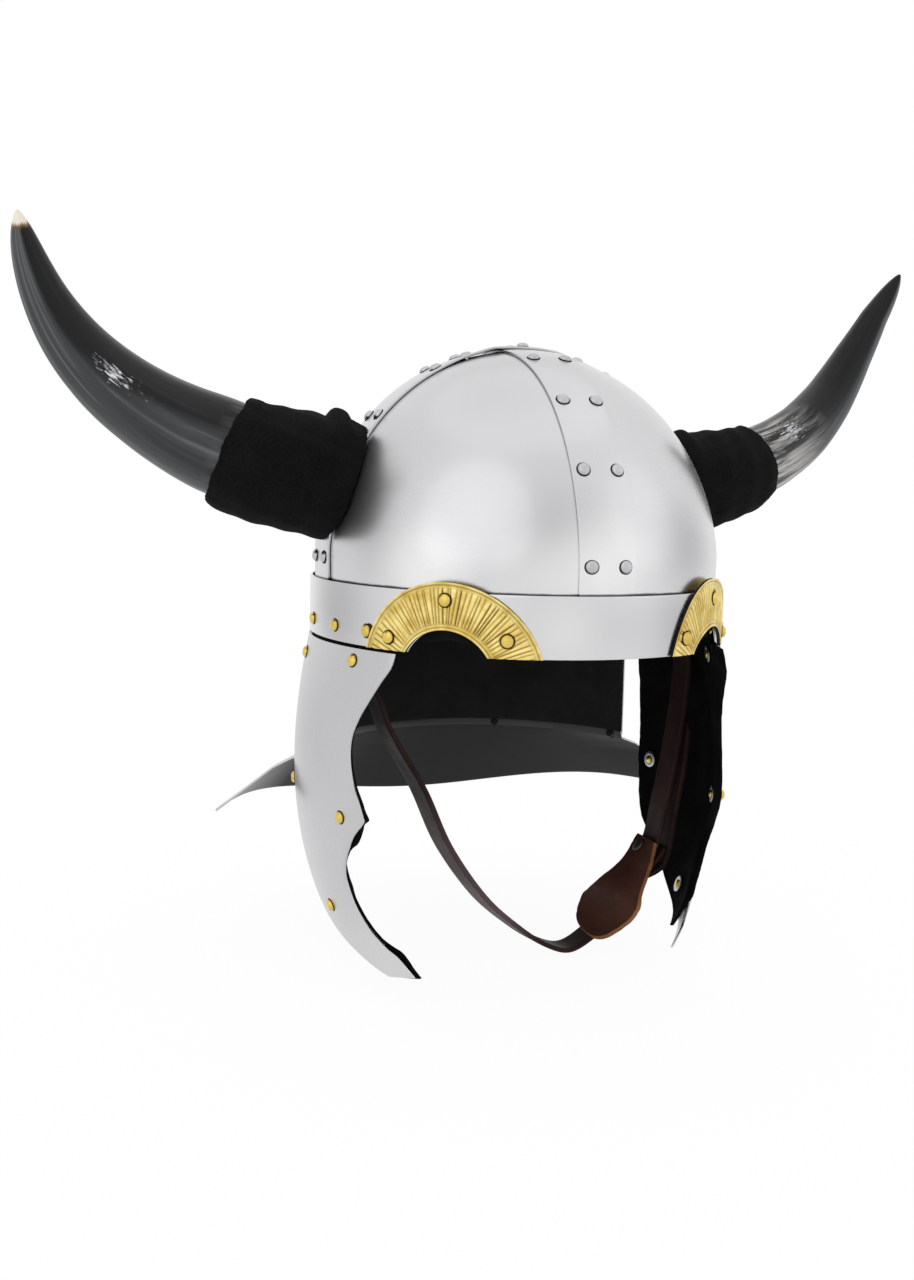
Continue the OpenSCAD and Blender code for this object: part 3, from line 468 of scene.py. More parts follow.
def tube(name, rings, material, closed_ends=True, loop=False, uvs=None, sharp=40):
    """Skin over a list of rings with equally many points."""
    rings = np.asarray(rings, float)
    n, m = rings.shape[:2]
    points = rings.reshape(-1, 3)
    faces = ring_faces(n, m, 0, loop)
    if closed_ends and not loop:
        faces.append(tuple(range(m)))
        faces.append(tuple(range((n - 1) * m, n * m)))
    return new_object(name, points, faces, material, uvs, sharp)


def basis(normal):
    """Two directions across a normal."""
    side = np.array([0.0, 0.0, 1.0]) if abs(normal[2]) < 0.9 else np.array([1.0, 0.0, 0.0])
    u = unit(np.cross(side, normal))
    return u, np.cross(normal, u)


def lathe_points(point, normal, profile, turns, wobble=0.0):
    u, v = basis(normal)
    spin = dice.uniform(0, 6.28)
    stretch = 1 + dice.uniform(-wobble, wobble)
    rings = []
    for r, h in profile:
        ring = []
        for k in range(turns):
            a = spin + 2 * math.pi * k / turns
            ring.append(point + normal * h + r * (math.cos(a) * stretch * u + math.sin(a) / stretch * v))
        rings.append(ring)
    return np.array(rings)


def lathe_group(name, spots, material, turns=28, wobble=0.02, closed=True):
    """One mesh of several turned solids: each spot is point, normal and profile. Closed ones are rivets,
    with painted shade, a dark ring, under the rim of the head."""
    points = []
    faces = []
    shaded_rim_faces = []
    for point, normal, profile in spots:
        rings = lathe_points(point, normal, profile, turns, wobble)
        start = len(points)
        count = len(rings)
        points.extend(rings.reshape(-1, 3))
        # The faces under each head's rim get painted shade.
        shaded_rim_faces.extend(len(faces) + k for k in range(RIM_RING * turns, (RIM_RING + 2) * turns))
        faces.extend(ring_faces(count, turns, start))
        if closed:
            faces.append(tuple(start + j for j in range(turns)))
            faces.append(tuple(start + (count - 1) * turns + j for j in range(turns)))
    obj = new_object(name, np.array(points), faces, material)
    if closed:
        obj.data.materials.append(PAINTED_SHADE)
        for index in shaded_rim_faces:
            obj.data.polygons[index].material_index = 1
    return obj


def repaint(piece, material, wanted):
    """Gives another material to the faces whose centre and normal pass a test."""
    materials = piece.data.materials
    if material.name not in materials:
        materials.append(material)
    index = materials.find(material.name)
    for face in piece.data.polygons:
        if wanted(np.array(face.center) / MM, np.array(face.normal)):
            face.material_index = index


def rivet_profile(head_d, grip, tall=1.0):
    """Radius and height from the top of the head to the peened end of the shank."""
    r = head_d / 2
    tall = tall * HEAD_H
    return [(0.02, tall), (r * 0.28, tall * 0.985), (r * 0.5, tall * 0.93), (r * 0.66, tall * 0.82),
            (r * 0.79, tall * 0.66), (r * 0.89, tall * 0.47), (r * 0.95, tall * 0.27), (r * 0.96, 0.24),
            (r * 1.13, -0.04), (r * 0.9, -0.09), (SHANK / 2, -0.09), (SHANK / 2, -grip), (1.9, -grip),
            (2.2, -grip - 0.2), (2.1, -grip - 0.5), (1.6, -grip - 0.8), (0.02, -grip - 0.86)]


def brass_profile(grip):
    return rivet_profile(BRASS_HEAD * dice.uniform(1.03, 1.09), grip, dice.uniform(0.88, 1.0))


# Materials

class Look:
    """A tree of shader nodes. Each input takes a value, a colour or another node's output."""

    def __init__(self, tree):
        self.nodes = tree.nodes
        self.links = tree.links

    def feed(self, socket, value):
        if isinstance(value, bpy.types.NodeSocket):
            self.links.new(value, socket)
        elif socket.type == "RGBA":
            socket.default_value = (*value, 1.0)
        else:
            socket.default_value = value

    def add(self, kind, output, inputs, **settings):
        node = self.nodes.new("ShaderNode" + kind)
        for name, value in settings.items():
            setattr(node, name, value)
        for key, value in inputs.items():
            self.feed(node.inputs[key], value)
        return node.outputs[output]

    def surface(self, **inputs):
        """Feeds inputs of the material's shader, by their names in small letters."""
        for key, value in inputs.items():
            name = "Specular IOR Level" if key == "specular" else key.replace("_", " ").title()
            self.feed(self.shader.inputs[name], value)

    def place(self, scale=(1, 1, 1)):
        """Object coordinates, scaled."""
        return self.add("Mapping", "Vector", {"Vector": self.add("TexCoord", "Object", {}), "Scale": scale})

    def axis(self, vector, name):
        return self.add("SeparateXYZ", name, {"Vector": vector})

    def distance(self, vector, centre):
        """Distance from a point that is given in millimetres."""
        centre = tuple(c * MM for c in centre)
        return self.add("VectorMath", "Value", {0: vector, 1: centre}, operation="DISTANCE")

    def noise(self, vector, scale, detail=4.0, rough=0.5, distortion=0.0):
        return self.add("TexNoise", "Fac", {"Vector": vector, "Scale": scale, "Detail": detail,
                                            "Roughness": rough, "Distortion": distortion})

    def ramp(self, value, stops):
        node = self.nodes.new("ShaderNodeValToRGB")
        elements = node.color_ramp.elements
        elements[0].position = stops[0][0]
        elements[1].position = stops[-1][0]
        for position, _ in stops[1:-1]:
            elements.new(position)
        for element, (_, color) in zip(elements, stops):
            element.color = (*color, 1.0)
        self.feed(node.inputs["Fac"], value)
        return node.outputs["Color"]

    def scaled(self, value, low, high, to_low, to_high, kind="LINEAR"):
        """Turns low to high of a value into to_low to to_high, and holds both ends."""
        return self.add("MapRange", "Result", {"Value": value, "From Min": low, "From Max": high,
                                               "To Min": to_low, "To Max": to_high}, interpolation_type=kind)

    def mix(self, factor, a, b):
        return self.add("Mix", "Result", {"Factor": factor, "A": a, "B": b}, data_type="RGBA")

    def math(self, operation, *values):
        return self.add("Math", "Value", dict(enumerate(values)), operation=operation)

    def near(self, value, middle, inner, outer):
        """One close to a middle value and none beyond a distance from it."""
        apart = self.math("ABSOLUTE", self.math("SUBTRACT", value, middle))
        return self.scaled(apart, inner, outer, 1.0, 0.0)

    def bump(self, height, distance, strength=1.0, below=None):
        inputs = {"Height": height, "Distance": distance, "Strength": strength}
        if below is not None:
            inputs["Normal"] = below
        normal = self.add("Bump", "Normal", inputs)
        self.surface(normal=normal)
        return normal


def new_look(name):
    material = bpy.data.materials.new(name)
    material.use_nodes = True
    look = Look(material.node_tree)
    look.material = material
    look.shader = look.nodes["Principled BSDF"]
    return look


def paint_reflections(look, sheet, reflection_patches):
    """Painted reflections and highlights: broad darker or lighter places painted into the colour, each a
    centre and a radius in millimetres and a strength.
    """
    vector = look.place()
    for centre, radius, strength in reflection_patches:
        share = look.scaled(look.distance(vector, centre), radius * MM, 0.0, 0.0, abs(strength), "SMOOTHSTEP")
        sheet = look.mix(share, sheet, REFLECTION_DARK if strength < 0 else REFLECTION_LIGHT)
    return sheet


def steel_material(name, color, rough, streak, shade_below=None, low=0.82, reflection_patches=(), haze=None, painted_light_end=False):
    """Polished sheet steel: cloudy shine with fine polishing lines. It can have painted reflections, broad
    darker and lighter places; painted shade, dark below a height in metres along a join; a hazy place round a
    point; and one end, towards -X, painted brighter than the rest as painted light."""
    look = new_look(name)
    look.surface(metallic=1.0)
    clouds = look.noise(look.place((1.0, 1.0, 0.8)), 10.0, 2.0, 0.4, 0.2)
    fine = look.noise(look.place(streak), 1.0, 4.0, 0.6)
    dull = tuple(c * low for c in color)
    sheet = look.ramp(clouds, [(0.33, dull), (0.64, color)])
    sheet = look.mix(look.scaled(fine, 0.3, 0.75, 0.0, 0.1), sheet, dull)
    # Painted reflections: broad places painted darker or lighter at fixed points on the object.
    sheet = paint_reflections(look, sheet, reflection_patches)
    # Painted light: the end towards -X is painted lighter, the lit tip of the flare's near wing.
    if painted_light_end:
        end = look.scaled(look.axis(look.place(), "X"), -0.09, -0.125, 0.0, 0.9)
        sheet = look.mix(end, sheet, (0.42, 0.42, 0.43))
        look.surface(specular_tint=(0.6, 0.6, 0.6))
    # Painted shade: dark below a ragged height, the shade line just above the brow band's top edge.
    if shade_below is not None:
        ragged = look.noise(look.place(), 90.0, 3.0)
        height = look.math("MULTIPLY_ADD", ragged, 0.0009, look.axis(look.place(), "Z"))
        sheet = look.mix(look.scaled(height, shade_below, shade_below + 0.0007, 0.9, 0.0), sheet, (0.02, 0.02, 0.02))
    shine = look.math("MULTIPLY_ADD", fine, 0.5, clouds)
    gloss = look.scaled(shine, 0.45, 1.05, rough - 0.04, rough + 0.05)
    if haze is not None:
        hazy = look.scaled(look.distance(look.place(), haze), 0.022, 0.042, 0.1, 0.0)
        gloss = look.math("ADD", gloss, hazy)
    look.surface(base_color=sheet, roughness=gloss)
    look.bump(fine, 0.0000015, 0.1)
    return look.material


def brass_material(name, color, rough, dark):
    """Cloudy brass, darker where the mesh carries dirt."""
    look = new_look(name)
    vector = look.place()
    clouds = look.noise(vector, 130.0, 5.0, 0.6)
    dirt = look.add("Attribute", "Fac", {}, attribute_name="dirt")
    sheet = look.mix(dirt, look.ramp(clouds, [(0.32, dark), (0.62, color)]), (0.2, 0.13, 0.03))
    look.surface(metallic=1.0, base_color=sheet,
                 roughness=look.scaled(clouds, 0.3, 0.7, rough + 0.08, rough - 0.04))
    look.bump(look.noise(vector, 700.0, 4.0), 0.0001, 0.3)
    return look.material


def leather_material(name, color, dark, rough, depth=0.00016, spec=0.14, painted_sheen=False):
    """Leather: pebbled grain with creases and uneven dye. With painted sheen, it is painted paler low down
    and towards -X, a glare of light painted into the colour.
    """
    look = new_look(name)
    vector = look.place()
    cells = look.add("TexVoronoi", "Distance", {"Vector": vector, "Scale": 420.0})
    stains = look.noise(vector, 38.0, 6.0, 0.62)
    hide = look.ramp(stains, [(0.3, dark), (0.68, color)])
    # Painted sheen: paler low down on the near side, a glare of light painted into the colour.
    if painted_sheen:
        low = look.scaled(look.axis(vector, "Z"), -0.08, -0.155, 0.0, 0.42)
        near_side = look.scaled(look.axis(vector, "X"), 0.012, -0.008, 0.0, 1.0)
        hide = look.mix(look.math("MULTIPLY", low, near_side), hide, (0.27, 0.19, 0.205))
    look.surface(specular=spec, base_color=hide,
                 roughness=look.scaled(stains, 0.3, 0.7, rough + 0.1, rough - 0.08))
    grain = look.bump(cells, depth, 0.5)
    look.bump(look.noise(vector, 160.0, 5.0, 0.6), depth * 2.2, 0.5, grain)
    return look.material


def suede_material(name, color):
    look = new_look(name)
    look.surface(roughness=0.95, specular=0.06, sheen_weight=0.05, sheen_roughness=0.5,
                 sheen_tint=(0.35, 0.33, 0.34))
    vector = look.place()
    patch = look.noise(vector, 55.0, 5.0, 0.6)
    nap = look.math("MULTIPLY_ADD", patch, 0.4, look.noise(vector, 900.0, 6.0, 0.75))
    look.surface(base_color=look.ramp(nap, [(0.5, tuple(c * 0.25 for c in color)), (0.9, color)]))
    look.bump(nap, 0.0007, 0.8)
    return look.material


def horn_material(name, tip_from, scuff, pale_root):
    """Dark horn with a paler lower side, streaks along its length, scuffs, and a cream tip on one horn.
    A scuff is its place and reach along the horn, then its place and reach round it."""
    look = new_look(name)
    look.surface(specular=0.22)
    source = look.add("UVMap", "UV", {}, uv_map="UVMap")
    round_it = look.axis(source, "X")
    along = look.axis(source, "Y")

    def stretched(across, lengthwise, detail, rough, distortion=0.0):
        vector = look.add("Mapping", "Vector", {"Vector": source, "Scale": (across, lengthwise, 1.0)})
        return look.noise(vector, 1.0, detail, rough, distortion)

    streaks = stretched(14.0, 1.6, 6.0, 0.5, 0.3)
    dark = look.ramp(streaks, [(0.3, (0.003, 0.003, 0.0032)), (0.55, (0.006, 0.006, 0.0064)),
                               (0.75, (0.018, 0.018, 0.019))])
    pale = look.ramp(streaks, [(0.3, (0.022, 0.024, 0.026)), (0.55, (0.046, 0.049, 0.052)),
                               (0.72, (0.13, 0.133, 0.136))])
    edge = look.math("MULTIPLY_ADD", stretched(3.0, 1.3, 2.0, 0.4), 0.3, round_it)
    edge = look.math("ADD", edge, look.scaled(along, 0.2, 0.75, 0.12, 0.0))
    body = look.mix(look.scaled(edge, 0.66, 0.76, 0.0, 1.0), dark, pale)
    root = look.scaled(stretched(16.0, 4.5, 5.0, 0.6, 0.4), 0.45, 0.62, 0.0, 1.0)
    share = look.scaled(along, 0.24, 0.24 + 0.26 * pale_root + 0.001, pale_root, 0.0)
    body = look.mix(look.math("MULTIPLY", share, root), body, (0.5, 0.49, 0.47))
    where = look.math("MULTIPLY", look.near(along, scuff[0], 0.0, scuff[1]),
                      look.near(round_it, scuff[2], 0.02, scuff[3]))
    scratch = look.math("ADD", stretched(60.0, 26.0, 8.0, 0.75), look.math("MULTIPLY", where, 0.27))
    body = look.mix(look.scaled(scratch, 0.74, 0.79, 0.0, 0.9), body, (0.75, 0.76, 0.78))
    height = look.math("MULTIPLY_ADD", stretched(26.0, 2.2, 4.0, 0.6), 0.035, along)
    burnt = look.scaled(height, tip_from, tip_from + 0.005, 0.0, 1.0)
    cream = look.scaled(height, tip_from + 0.007, tip_from + 0.013, 0.0, 1.0)
    body = look.mix(cream, look.mix(burnt, body, (0.16, 0.09, 0.035)), (0.82, 0.76, 0.64))
    look.surface(base_color=body, roughness=look.scaled(streaks, 0.3, 0.7, 0.26, 0.42))
    look.bump(streaks, 0.0005, 0.35)
    return look.material


def wood_material(name):
    look = new_look(name)
    rings = look.add("TexWave", "Fac", {"Vector": look.place((0.2, 1, 1)), "Scale": 60.0, "Distortion": 5.0})
    look.surface(roughness=0.6, base_color=look.ramp(rings, [(0.2, (0.36, 0.22, 0.11)),
                                                             (0.9, (0.55, 0.38, 0.21))]))
    look.bump(rings, 0.0003, 0.4)
    return look.material


# Tones that the painted reflections and highlights mix towards.
REFLECTION_DARK = (0.1, 0.1, 0.105)
REFLECTION_LIGHT = (0.92, 0.92, 0.92)
POLISH_ROUND = (25, 25, 1400)
POLISH_DOWN = (260, 260, 12)
# Height in metres below which the shell steel is painted dark: painted shade just above the brow band.
SHELL_SHADE_LINE = 0.0294
SLEEVE_SIDE = (-94, -30, 76)
# Painted reflections and highlights on each steel: centre, radius and strength.
SHELL_REFLECTIONS = [((49, -102, 51), 34, -0.3), ((62, -78, 84), 30, -0.14), ((-22, -110, 60), 30, -0.14),
                 ((-92, -24, 80), 46, -0.12), ((-80, -80, 36), 36, 0.7), ((-30, -110, 34), 30, 0.35),
                 ((-2, -118, 40), 36, 0.7), ((-92, -50, 52), 24, -0.12), ((-24, -38, 137), 60, -0.08)]
SHEET_REFLECTIONS = [((-103, -25, 15), 52, -0.42), ((42, -110, 15), 44, -0.34), ((2, -118, 15), 26, -0.1),
                 ((-18, -116, 12), 22, 0.2), ((-60, -96, 22), 30, -0.12)]
GUARD_REFLECTIONS = [((-77, -59, -154), 50, 0.25), ((-109, -2, -50), 60, -0.16), ((-100, -45, -10), 40, -0.05)]
STEEL_SHELL = steel_material("steel_shell", (0.67, 0.67, 0.68), 0.26, POLISH_ROUND, SHELL_SHADE_LINE, 0.88,
                             SHELL_REFLECTIONS, haze=SLEEVE_SIDE)
# A lighter copy of the shell's polished steel for the brow band: painted light.
STEEL_SHEET = steel_material("steel_sheet", (0.73, 0.73, 0.74), 0.24, POLISH_ROUND, None, 0.9, SHEET_REFLECTIONS)
# A darker copy of the polished steel for the guards: painted shade.
STEEL_GUARD = steel_material("steel_guard", (0.565, 0.565, 0.575), 0.27, POLISH_DOWN, None, 0.95,
                             GUARD_REFLECTIONS)
# Painted reflection and shade: near-black steel for the flare's inner faces and dark steel for its fold,
# standing in for the dark they reflect; the -X end of the inner faces is painted lighter.
STEEL_PAINTED_REFLECTION = steel_material("steel_painted_reflection", (0.031, 0.031, 0.031), 0.42, (40, 40, 300), painted_light_end=True)
STEEL_FOLD_SHADE = steel_material("steel_fold_painted_shade", (0.052, 0.052, 0.053), 0.45, (40, 40, 300))
STEEL_RIVET = steel_material("steel_rivet", (0.56, 0.57, 0.58), 0.3, (60, 60, 60))
DULL_RIVET = steel_material("dull_rivet", (0.12, 0.1, 0.1), 0.55, (60, 60, 60))
BRASS_SHEET = brass_material("brass_plate", (0.95, 0.77, 0.29), 0.34, (0.66, 0.46, 0.1))
BRASS_RIVET = brass_material("brass_fitting", (0.8, 0.6, 0.15), 0.26, (0.6, 0.43, 0.09))
# Painted shade: a dark material under the rivet heads, on the eyebrow plates' side walls and on the neck
# rivets' inward faces, where shade falls.
PAINTED_SHADE = leather_material("rivet_painted_shade", (0.02, 0.018, 0.015), (0.01, 0.009, 0.008), 0.8)
BLACK_LEATHER = leather_material("black_leather", (0.004, 0.0038, 0.0038), (0.0015, 0.0015, 0.0015), 0.85,
                                 spec=0.05)
# A lighter copy of the black leather for the neck lining: painted light.
BLACK_LEATHER_LIT = leather_material("neck_leather", (0.021, 0.0205, 0.0205), (0.015, 0.0145, 0.0145), 0.8,
                                spec=0.1)
LINER_LEATHER = leather_material("liner_leather", (0.008, 0.0075, 0.0075), (0.003, 0.003, 0.003), 0.8,
                                 spec=0.07)
STRAP_LEATHER = leather_material("strap_leather", (0.034, 0.0165, 0.0155), (0.014, 0.007, 0.0068), 0.5,
                                 depth=0.00008, spec=0.09, painted_sheen=True)
SHIELD_LEATHER = leather_material("shield_leather", (0.075, 0.027, 0.017), (0.031, 0.0125, 0.0085), 0.5)
RAW_EDGE = leather_material("raw_edge", (0.3, 0.13, 0.055), (0.16, 0.06, 0.025), 0.8)
BLACK_SUEDE = suede_material("black_suede", (0.0095, 0.009, 0.009))
HORN_RIGHT = horn_material("horn_right", 0.978, (0.55, 0.18, 0.47, 0.17), 0.14)
HORN_LEFT = horn_material("horn_left", 2.0, (0.34, 0.16, 0.3, 0.34), 1.0)
WOOD = wood_material("plug_wood")


def dress(piece, body, slot, *nodes):
    if body:
        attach(piece, body)
    if nodes:
        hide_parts(*nodes)
    return piece


# Bowl

def skull_panel(name, left, rear):
    f = np.linspace(0, 1, 40)[None, :]
    e = np.linspace(0, 84, 56)[:, None]
    flip = np.array([1.0 if left else -1.0, 1.0 if rear else -1.0, 1.0])

    def face(offset):
        grid = panel_pt(f, e, offset)
        tuck = grid[:1].copy()
        tuck[..., 2] = BROW - TUCK
        return np.concatenate([tuck, grid]) * flip

    piece = sheet_solid(name, face(PANEL_OUT), face(PANEL_IN), STEEL_SHELL, 0.2)
    dress(piece, "helmet", "polished_steel", name.replace("shell", "skull_panel"))


def bowl_band(name, node, side, middle, outer):
    turns = np.linspace(0, 180, 121)
    across = np.linspace(-0.5, 0.5, 9) * BAND_WIDTH + middle

    def face(lift):
        rows = []
        for t in turns:
            offset = BAND_OUT + lift
            if outer:
                x = strip_pt(side, across, t, 0)[..., 0]
                front = np.clip((middle - across) / (BAND_WIDTH / 2), 0, 1) ** 2
                stand = STAND_OFF * np.exp(-((x - STAND_AT) / STAND_WIDTH) ** 2) * front
                offset = climb(x) + lift + stand
            rows.append(strip_pt(side, across, t, offset))
        first = rows[0].copy()
        first[..., 2] = BROW - TUCK
        last = rows[-1].copy()
        last[..., 2] = BROW - TUCK
        return np.array([first] + rows + [last])

    piece = sheet_solid(name, face(0), face(-STEEL), STEEL_SHELL, 0.22)
    dress(piece, "helmet", "polished_steel", node)


def eye_coordinate(angle, centre):
    """Distance along the tangent of the wall at an eye opening."""
    n = wall_normal(centre)
    tangent = np.array([-n[1], n[0], 0.0])
    return (wall_pt(angle, 0, 0) - wall_pt(centre, 0, 0)) @ tangent


def across_eye(angle):
    """The same for one angle, and far off when the angle isn't near the opening."""
    return float(eye_coordinate(angle, EYE_ANGLE)) if abs(angle - EYE_ANGLE) < 20 else 99.0


def brow_band():
    half = math.sqrt(EYE_R ** 2 - EYE_DROP ** 2)
    angles = list(np.arange(-180, 180, 2.0))
    table = np.linspace(EYE_ANGLE - 20, EYE_ANGLE + 20, 801)
    reach = eye_coordinate(table, EYE_ANGLE)
    for u in half * np.sin(np.radians(np.linspace(-90, 90, 41))):
        a = float(np.interp(u, reach, table))
        angles.append(a)
        angles.append(-a)
    low = float(np.interp(-half, reach, table))
    high = float(np.interp(half, reach, table))
    exact = {round(v, 6) for v in (low, high, -low, -high)}
    kept = sorted({round(a, 6) for a in angles})
    angles = [kept[0]]
    for a in kept[1:]:
        if a - angles[-1] < 0.18 and a not in exact:
            continue
        if a - angles[-1] < 0.18:
            angles[-1] = a
        else:
            angles.append(a)
    angles = np.array(angles)
    bottom = np.zeros(len(angles))
    for i, a in enumerate(angles):
        u = across_eye(abs(a))
        if abs(u) < half:
            bottom[i] = math.sqrt(EYE_R ** 2 - u * u) - EYE_DROP
    shares = np.concatenate([[0, 0.04], np.linspace(0.12, 0.88, 6), [0.96, 1]])
    z = bottom[None, :] + (BROW - bottom[None, :]) * shares[:, None]
    outer = wall_pt(angles[None, :], z, 0)
    inner = wall_pt(angles[None, :], z, -STEEL)
    piece = sheet_solid("brow_ring", outer, inner, STEEL_SHEET, 0.22, wrap=True)
    dress(piece, "helmet", "polished_steel", "brow_band")


def eyebrow_plate(name, node, side):
    """Brass arch with raised rims and hand-cut radial grooves."""
    local = random.Random(11 if side < 0 else 12)
    width = EYEBROW_R - EYE_R
    shares = np.linspace(0, 1, 34)
    turns = np.linspace(-1, 1, 420)
    r = (EYE_R + width * shares)[:, None]
    limit = np.degrees(np.arccos(EYE_DROP / r))
    theta = turns[None, :] * limit
    u = r * np.sin(np.radians(theta))
    v = np.maximum(0.0, r * np.cos(np.radians(theta)) - EYE_DROP)
    edge = np.minimum(r - EYE_R, EYEBROW_R - r)
    rim_height = RIM_HEIGHT * smooth_step((RIM_WIDTH - edge) / 0.9)
    lines = []
    a = -GROOVES_TO
    while a < GROOVES_TO:
        lines.append((a + local.uniform(-0.5, 0.5), local.uniform(-0.9, 0.9), local.uniform(0.7, 1.2)))
        a += GROOVE_STEP * local.uniform(0.72, 1.28)
    ribs = np.zeros_like(theta)
    for centre, slant, strength in lines:
        d = theta + slant * (shares[:, None] - 0.5) * 2 - centre
        ribs = np.maximum(ribs, strength * np.exp(-(d * r / 34 / 0.62) ** 2))
    inside = smooth_step((edge - RIM_WIDTH) / 1.2)
    wave = 0.08 * np.sin(theta * 0.21 + 1.3) + 0.06 * np.sin(theta * 0.53)
    height = BRASS + np.maximum(rim_height, inside * (0.55 - 0.5 * ribs)) + inside * wave * 0.5
    groove = np.exp(-((edge - 1.25) / 0.28) ** 2)
    height = np.minimum(height, BRASS + RIM_HEIGHT) - RIM_GROOVE * groove
    dirt = np.clip(inside * ribs * 0.85 + groove * 0.8 + 0.5 * np.exp(-((edge - 2.4) / 0.3) ** 2), 0, 1)
    for spot, z in eyebrow_spots():
        if spot * side > 0:
            across = float(eye_coordinate(abs(spot), EYE_ANGLE))
            apart = np.hypot(u - across, v - z)
            ring = np.clip(1.4 - np.abs(apart - 3.1) / 0.5, 0, 1)
            dirt = np.maximum(dirt, ring)
            height = np.where(apart < 3.6, np.minimum(height, BRASS + 0.45), height)
    table = np.linspace(EYE_ANGLE - 30, EYE_ANGLE + 30, 1201)
    reach = eye_coordinate(table, EYE_ANGLE)
    if side > 0:
        pull = smooth_step((-turns[None, :] - 0.1) / 0.9)
        u = u + pull * (5.6 * shares[:, None] - 1.6 * (1 - shares[:, None]))
        v = v + 2.2 * shares[:, None] * np.sin(np.pi * smooth_step((-turns[None, :] + 0.45) / 1.45))
    angle = np.interp(u, reach, table)
    outer = wall_pt(side * angle, v, LAY + height)
    inner = wall_pt(side * angle, v, LAY)
    piece = sheet_solid(name, outer, inner, BRASS_SHEET, 0.0, sharp=60)
    layer = piece.data.attributes.new("dirt", "FLOAT", "POINT")
    layer.data.foreach_set("value", np.concatenate([dirt.ravel(), np.zeros(dirt.size)]).astype(np.float32))
    # Painted shade: the plate's side walls get the dark material, the shade along its edges where it stands
    # off the band.
    squash = np.array([1 / HALF_WIDTH ** 2, 1 / HALF_LENGTH ** 2, 0.0])
    repaint(piece, PAINTED_SHADE, lambda centre, normal: abs(np.dot(normal, unit(centre * squash))) < 0.35)
    dress(piece, "helmet", "brass_sheet", node)


def eyebrow_spots():
    for m in (-1, 1):
        yield m * (EYE_ANGLE - EYEBROW_TURN), EYEBROW_RIVETS_Z[0]
        yield m * EYE_ANGLE, EYEBROW_RIVETS_Z[1]
        yield m * (EYE_ANGLE + EYEBROW_TURN), EYEBROW_RIVETS_Z[2]


def band_spots():
    for t in LENGTHWISE_RIVETS:
        for e in (t, 180 - t):
            for m in (-1, 1):
                p = strip_pt(False, m * RIVET_ROW, e, BAND_OUT)
                yield p, BAND_OUT - PANEL_IN
    for t in CROSSWISE_RIVETS:
        for e in ((t, 180 - t) if t < 90 else (90,)):
            for m in (-1, 1):
                q = strip_pt(True, SIDE_BAND_Y + m * RIVET_ROW, e, 0)
                lift = float(climb(q[0]))
                p = strip_pt(True, SIDE_BAND_Y + m * RIVET_ROW, e, lift)
                yield p, lift - (PANEL_IN if t < 90 else BAND_IN)


def bowl_rivets():
    spots = []
    for p, grip in band_spots():
        n = bowl_normal(p)
        spots.append((p + SEAT * n, n, rivet_profile(STEEL_HEAD * dice.uniform(0.97, 1.02), grip + 0.5,
                                                     dice.uniform(0.86, 1.0))))
    piece = lathe_group("bowl_rivets", spots, STEEL_RIVET)
    dress(piece, "helmet", "rivet_steel", "band_rivets")
    spots = []
    top = LAY + BRASS + 0.5 + SEAT
    for a, z in eyebrow_spots():
        spots.append((wall_pt(a, z, top), wall_normal(a), brass_profile(top - LINER_IN + SEAT)))
    piece = lathe_group("eye_rivets", spots, BRASS_RIVET)
    dress(piece, "helmet", "brass_fittings", "eyebrow_rivets")
    spots = []
    for m in (-1, 1):
        for a in BROW_RIVETS:
            grip = STRAP_GRIP if a == STRAP_ANGLE else -LINER_IN
            stand = 0.9 if a == BROW_RIVETS[0] else SEAT
            spots.append((wall_pt(m * a, BROW_RIVET_Z, stand), wall_normal(m * a),
                          brass_profile(2 * SEAT + grip)))
    spots.append((wall_pt(180, BROW_RIVET_Z, SEAT), wall_normal(180),
                  rivet_profile(BRASS_HEAD, 2 * SEAT - LINER_IN)))
    piece = lathe_group("brow_ring_rivets", spots, BRASS_RIVET)
    dress(piece, "helmet", "brass_fittings", "brow_rivets")


# Cheek guards

def cheek_outline(right, show, steps):
    """Rows of a cheek guard, each from its front edge to its rear edge, as depth and angle."""
    rows = []

    def front_show(depth):
        return read_table(SHOW_RIGHT if right else SHOW_LEFT, depth) if show else 0.0

    upper = through(CHEEK_EDGE, steps)
    for d, a in upper[:-1]:
        rows.append(((d, CHEEK_FRONT + a - front_show(d)), (d, CHEEK_REAR + show)))
    hollow = through(CHEEK_HOLLOW, steps)
    back = through(CHEEK_ROUND, steps)
    last = len(hollow) - 1
    for i in range(last + 1):
        f = i / last
        fade = show * smooth_step((f - 0.8) / 0.2)
        depth = LUG_DEPTH + hollow[i][0] + fade
        narrow = 0.0 if right else read_table(NARROW_LEFT, back[i][0])
        rear = CHEEK_REAR - back[i][1] - narrow + show
        ahead = min(CHEEK_LUG + hollow[i][1] - front_show(depth), rear - 0.7)
        if right:
            lower = TIP_LOWER_RIGHT * ease((f - 0.85) / 0.15)
        else:
            lower = -TIP_HIGHER_LEFT * ease((f - 0.78) / 0.22)
        rows.append(((depth + max(0.0, lower), ahead), (back[i][0] + fade + lower, rear)))
    return rows


def cheek_grid(rows, cols, offset, right):
    f = np.linspace(0, 1, cols)
    grid = []
    for front, rear in rows:
        curl = 0.0 if right else read_table(CURL_LEFT, front[0])
        turn = (rear[1] - front[1]) * f
        lift = offset - curl * np.exp(-(turn / 6) ** 2)
        grid.append(cheek_pt(front[1] + turn, front[0] + (rear[0] - front[0]) * f, lift))
    return np.array(grid)


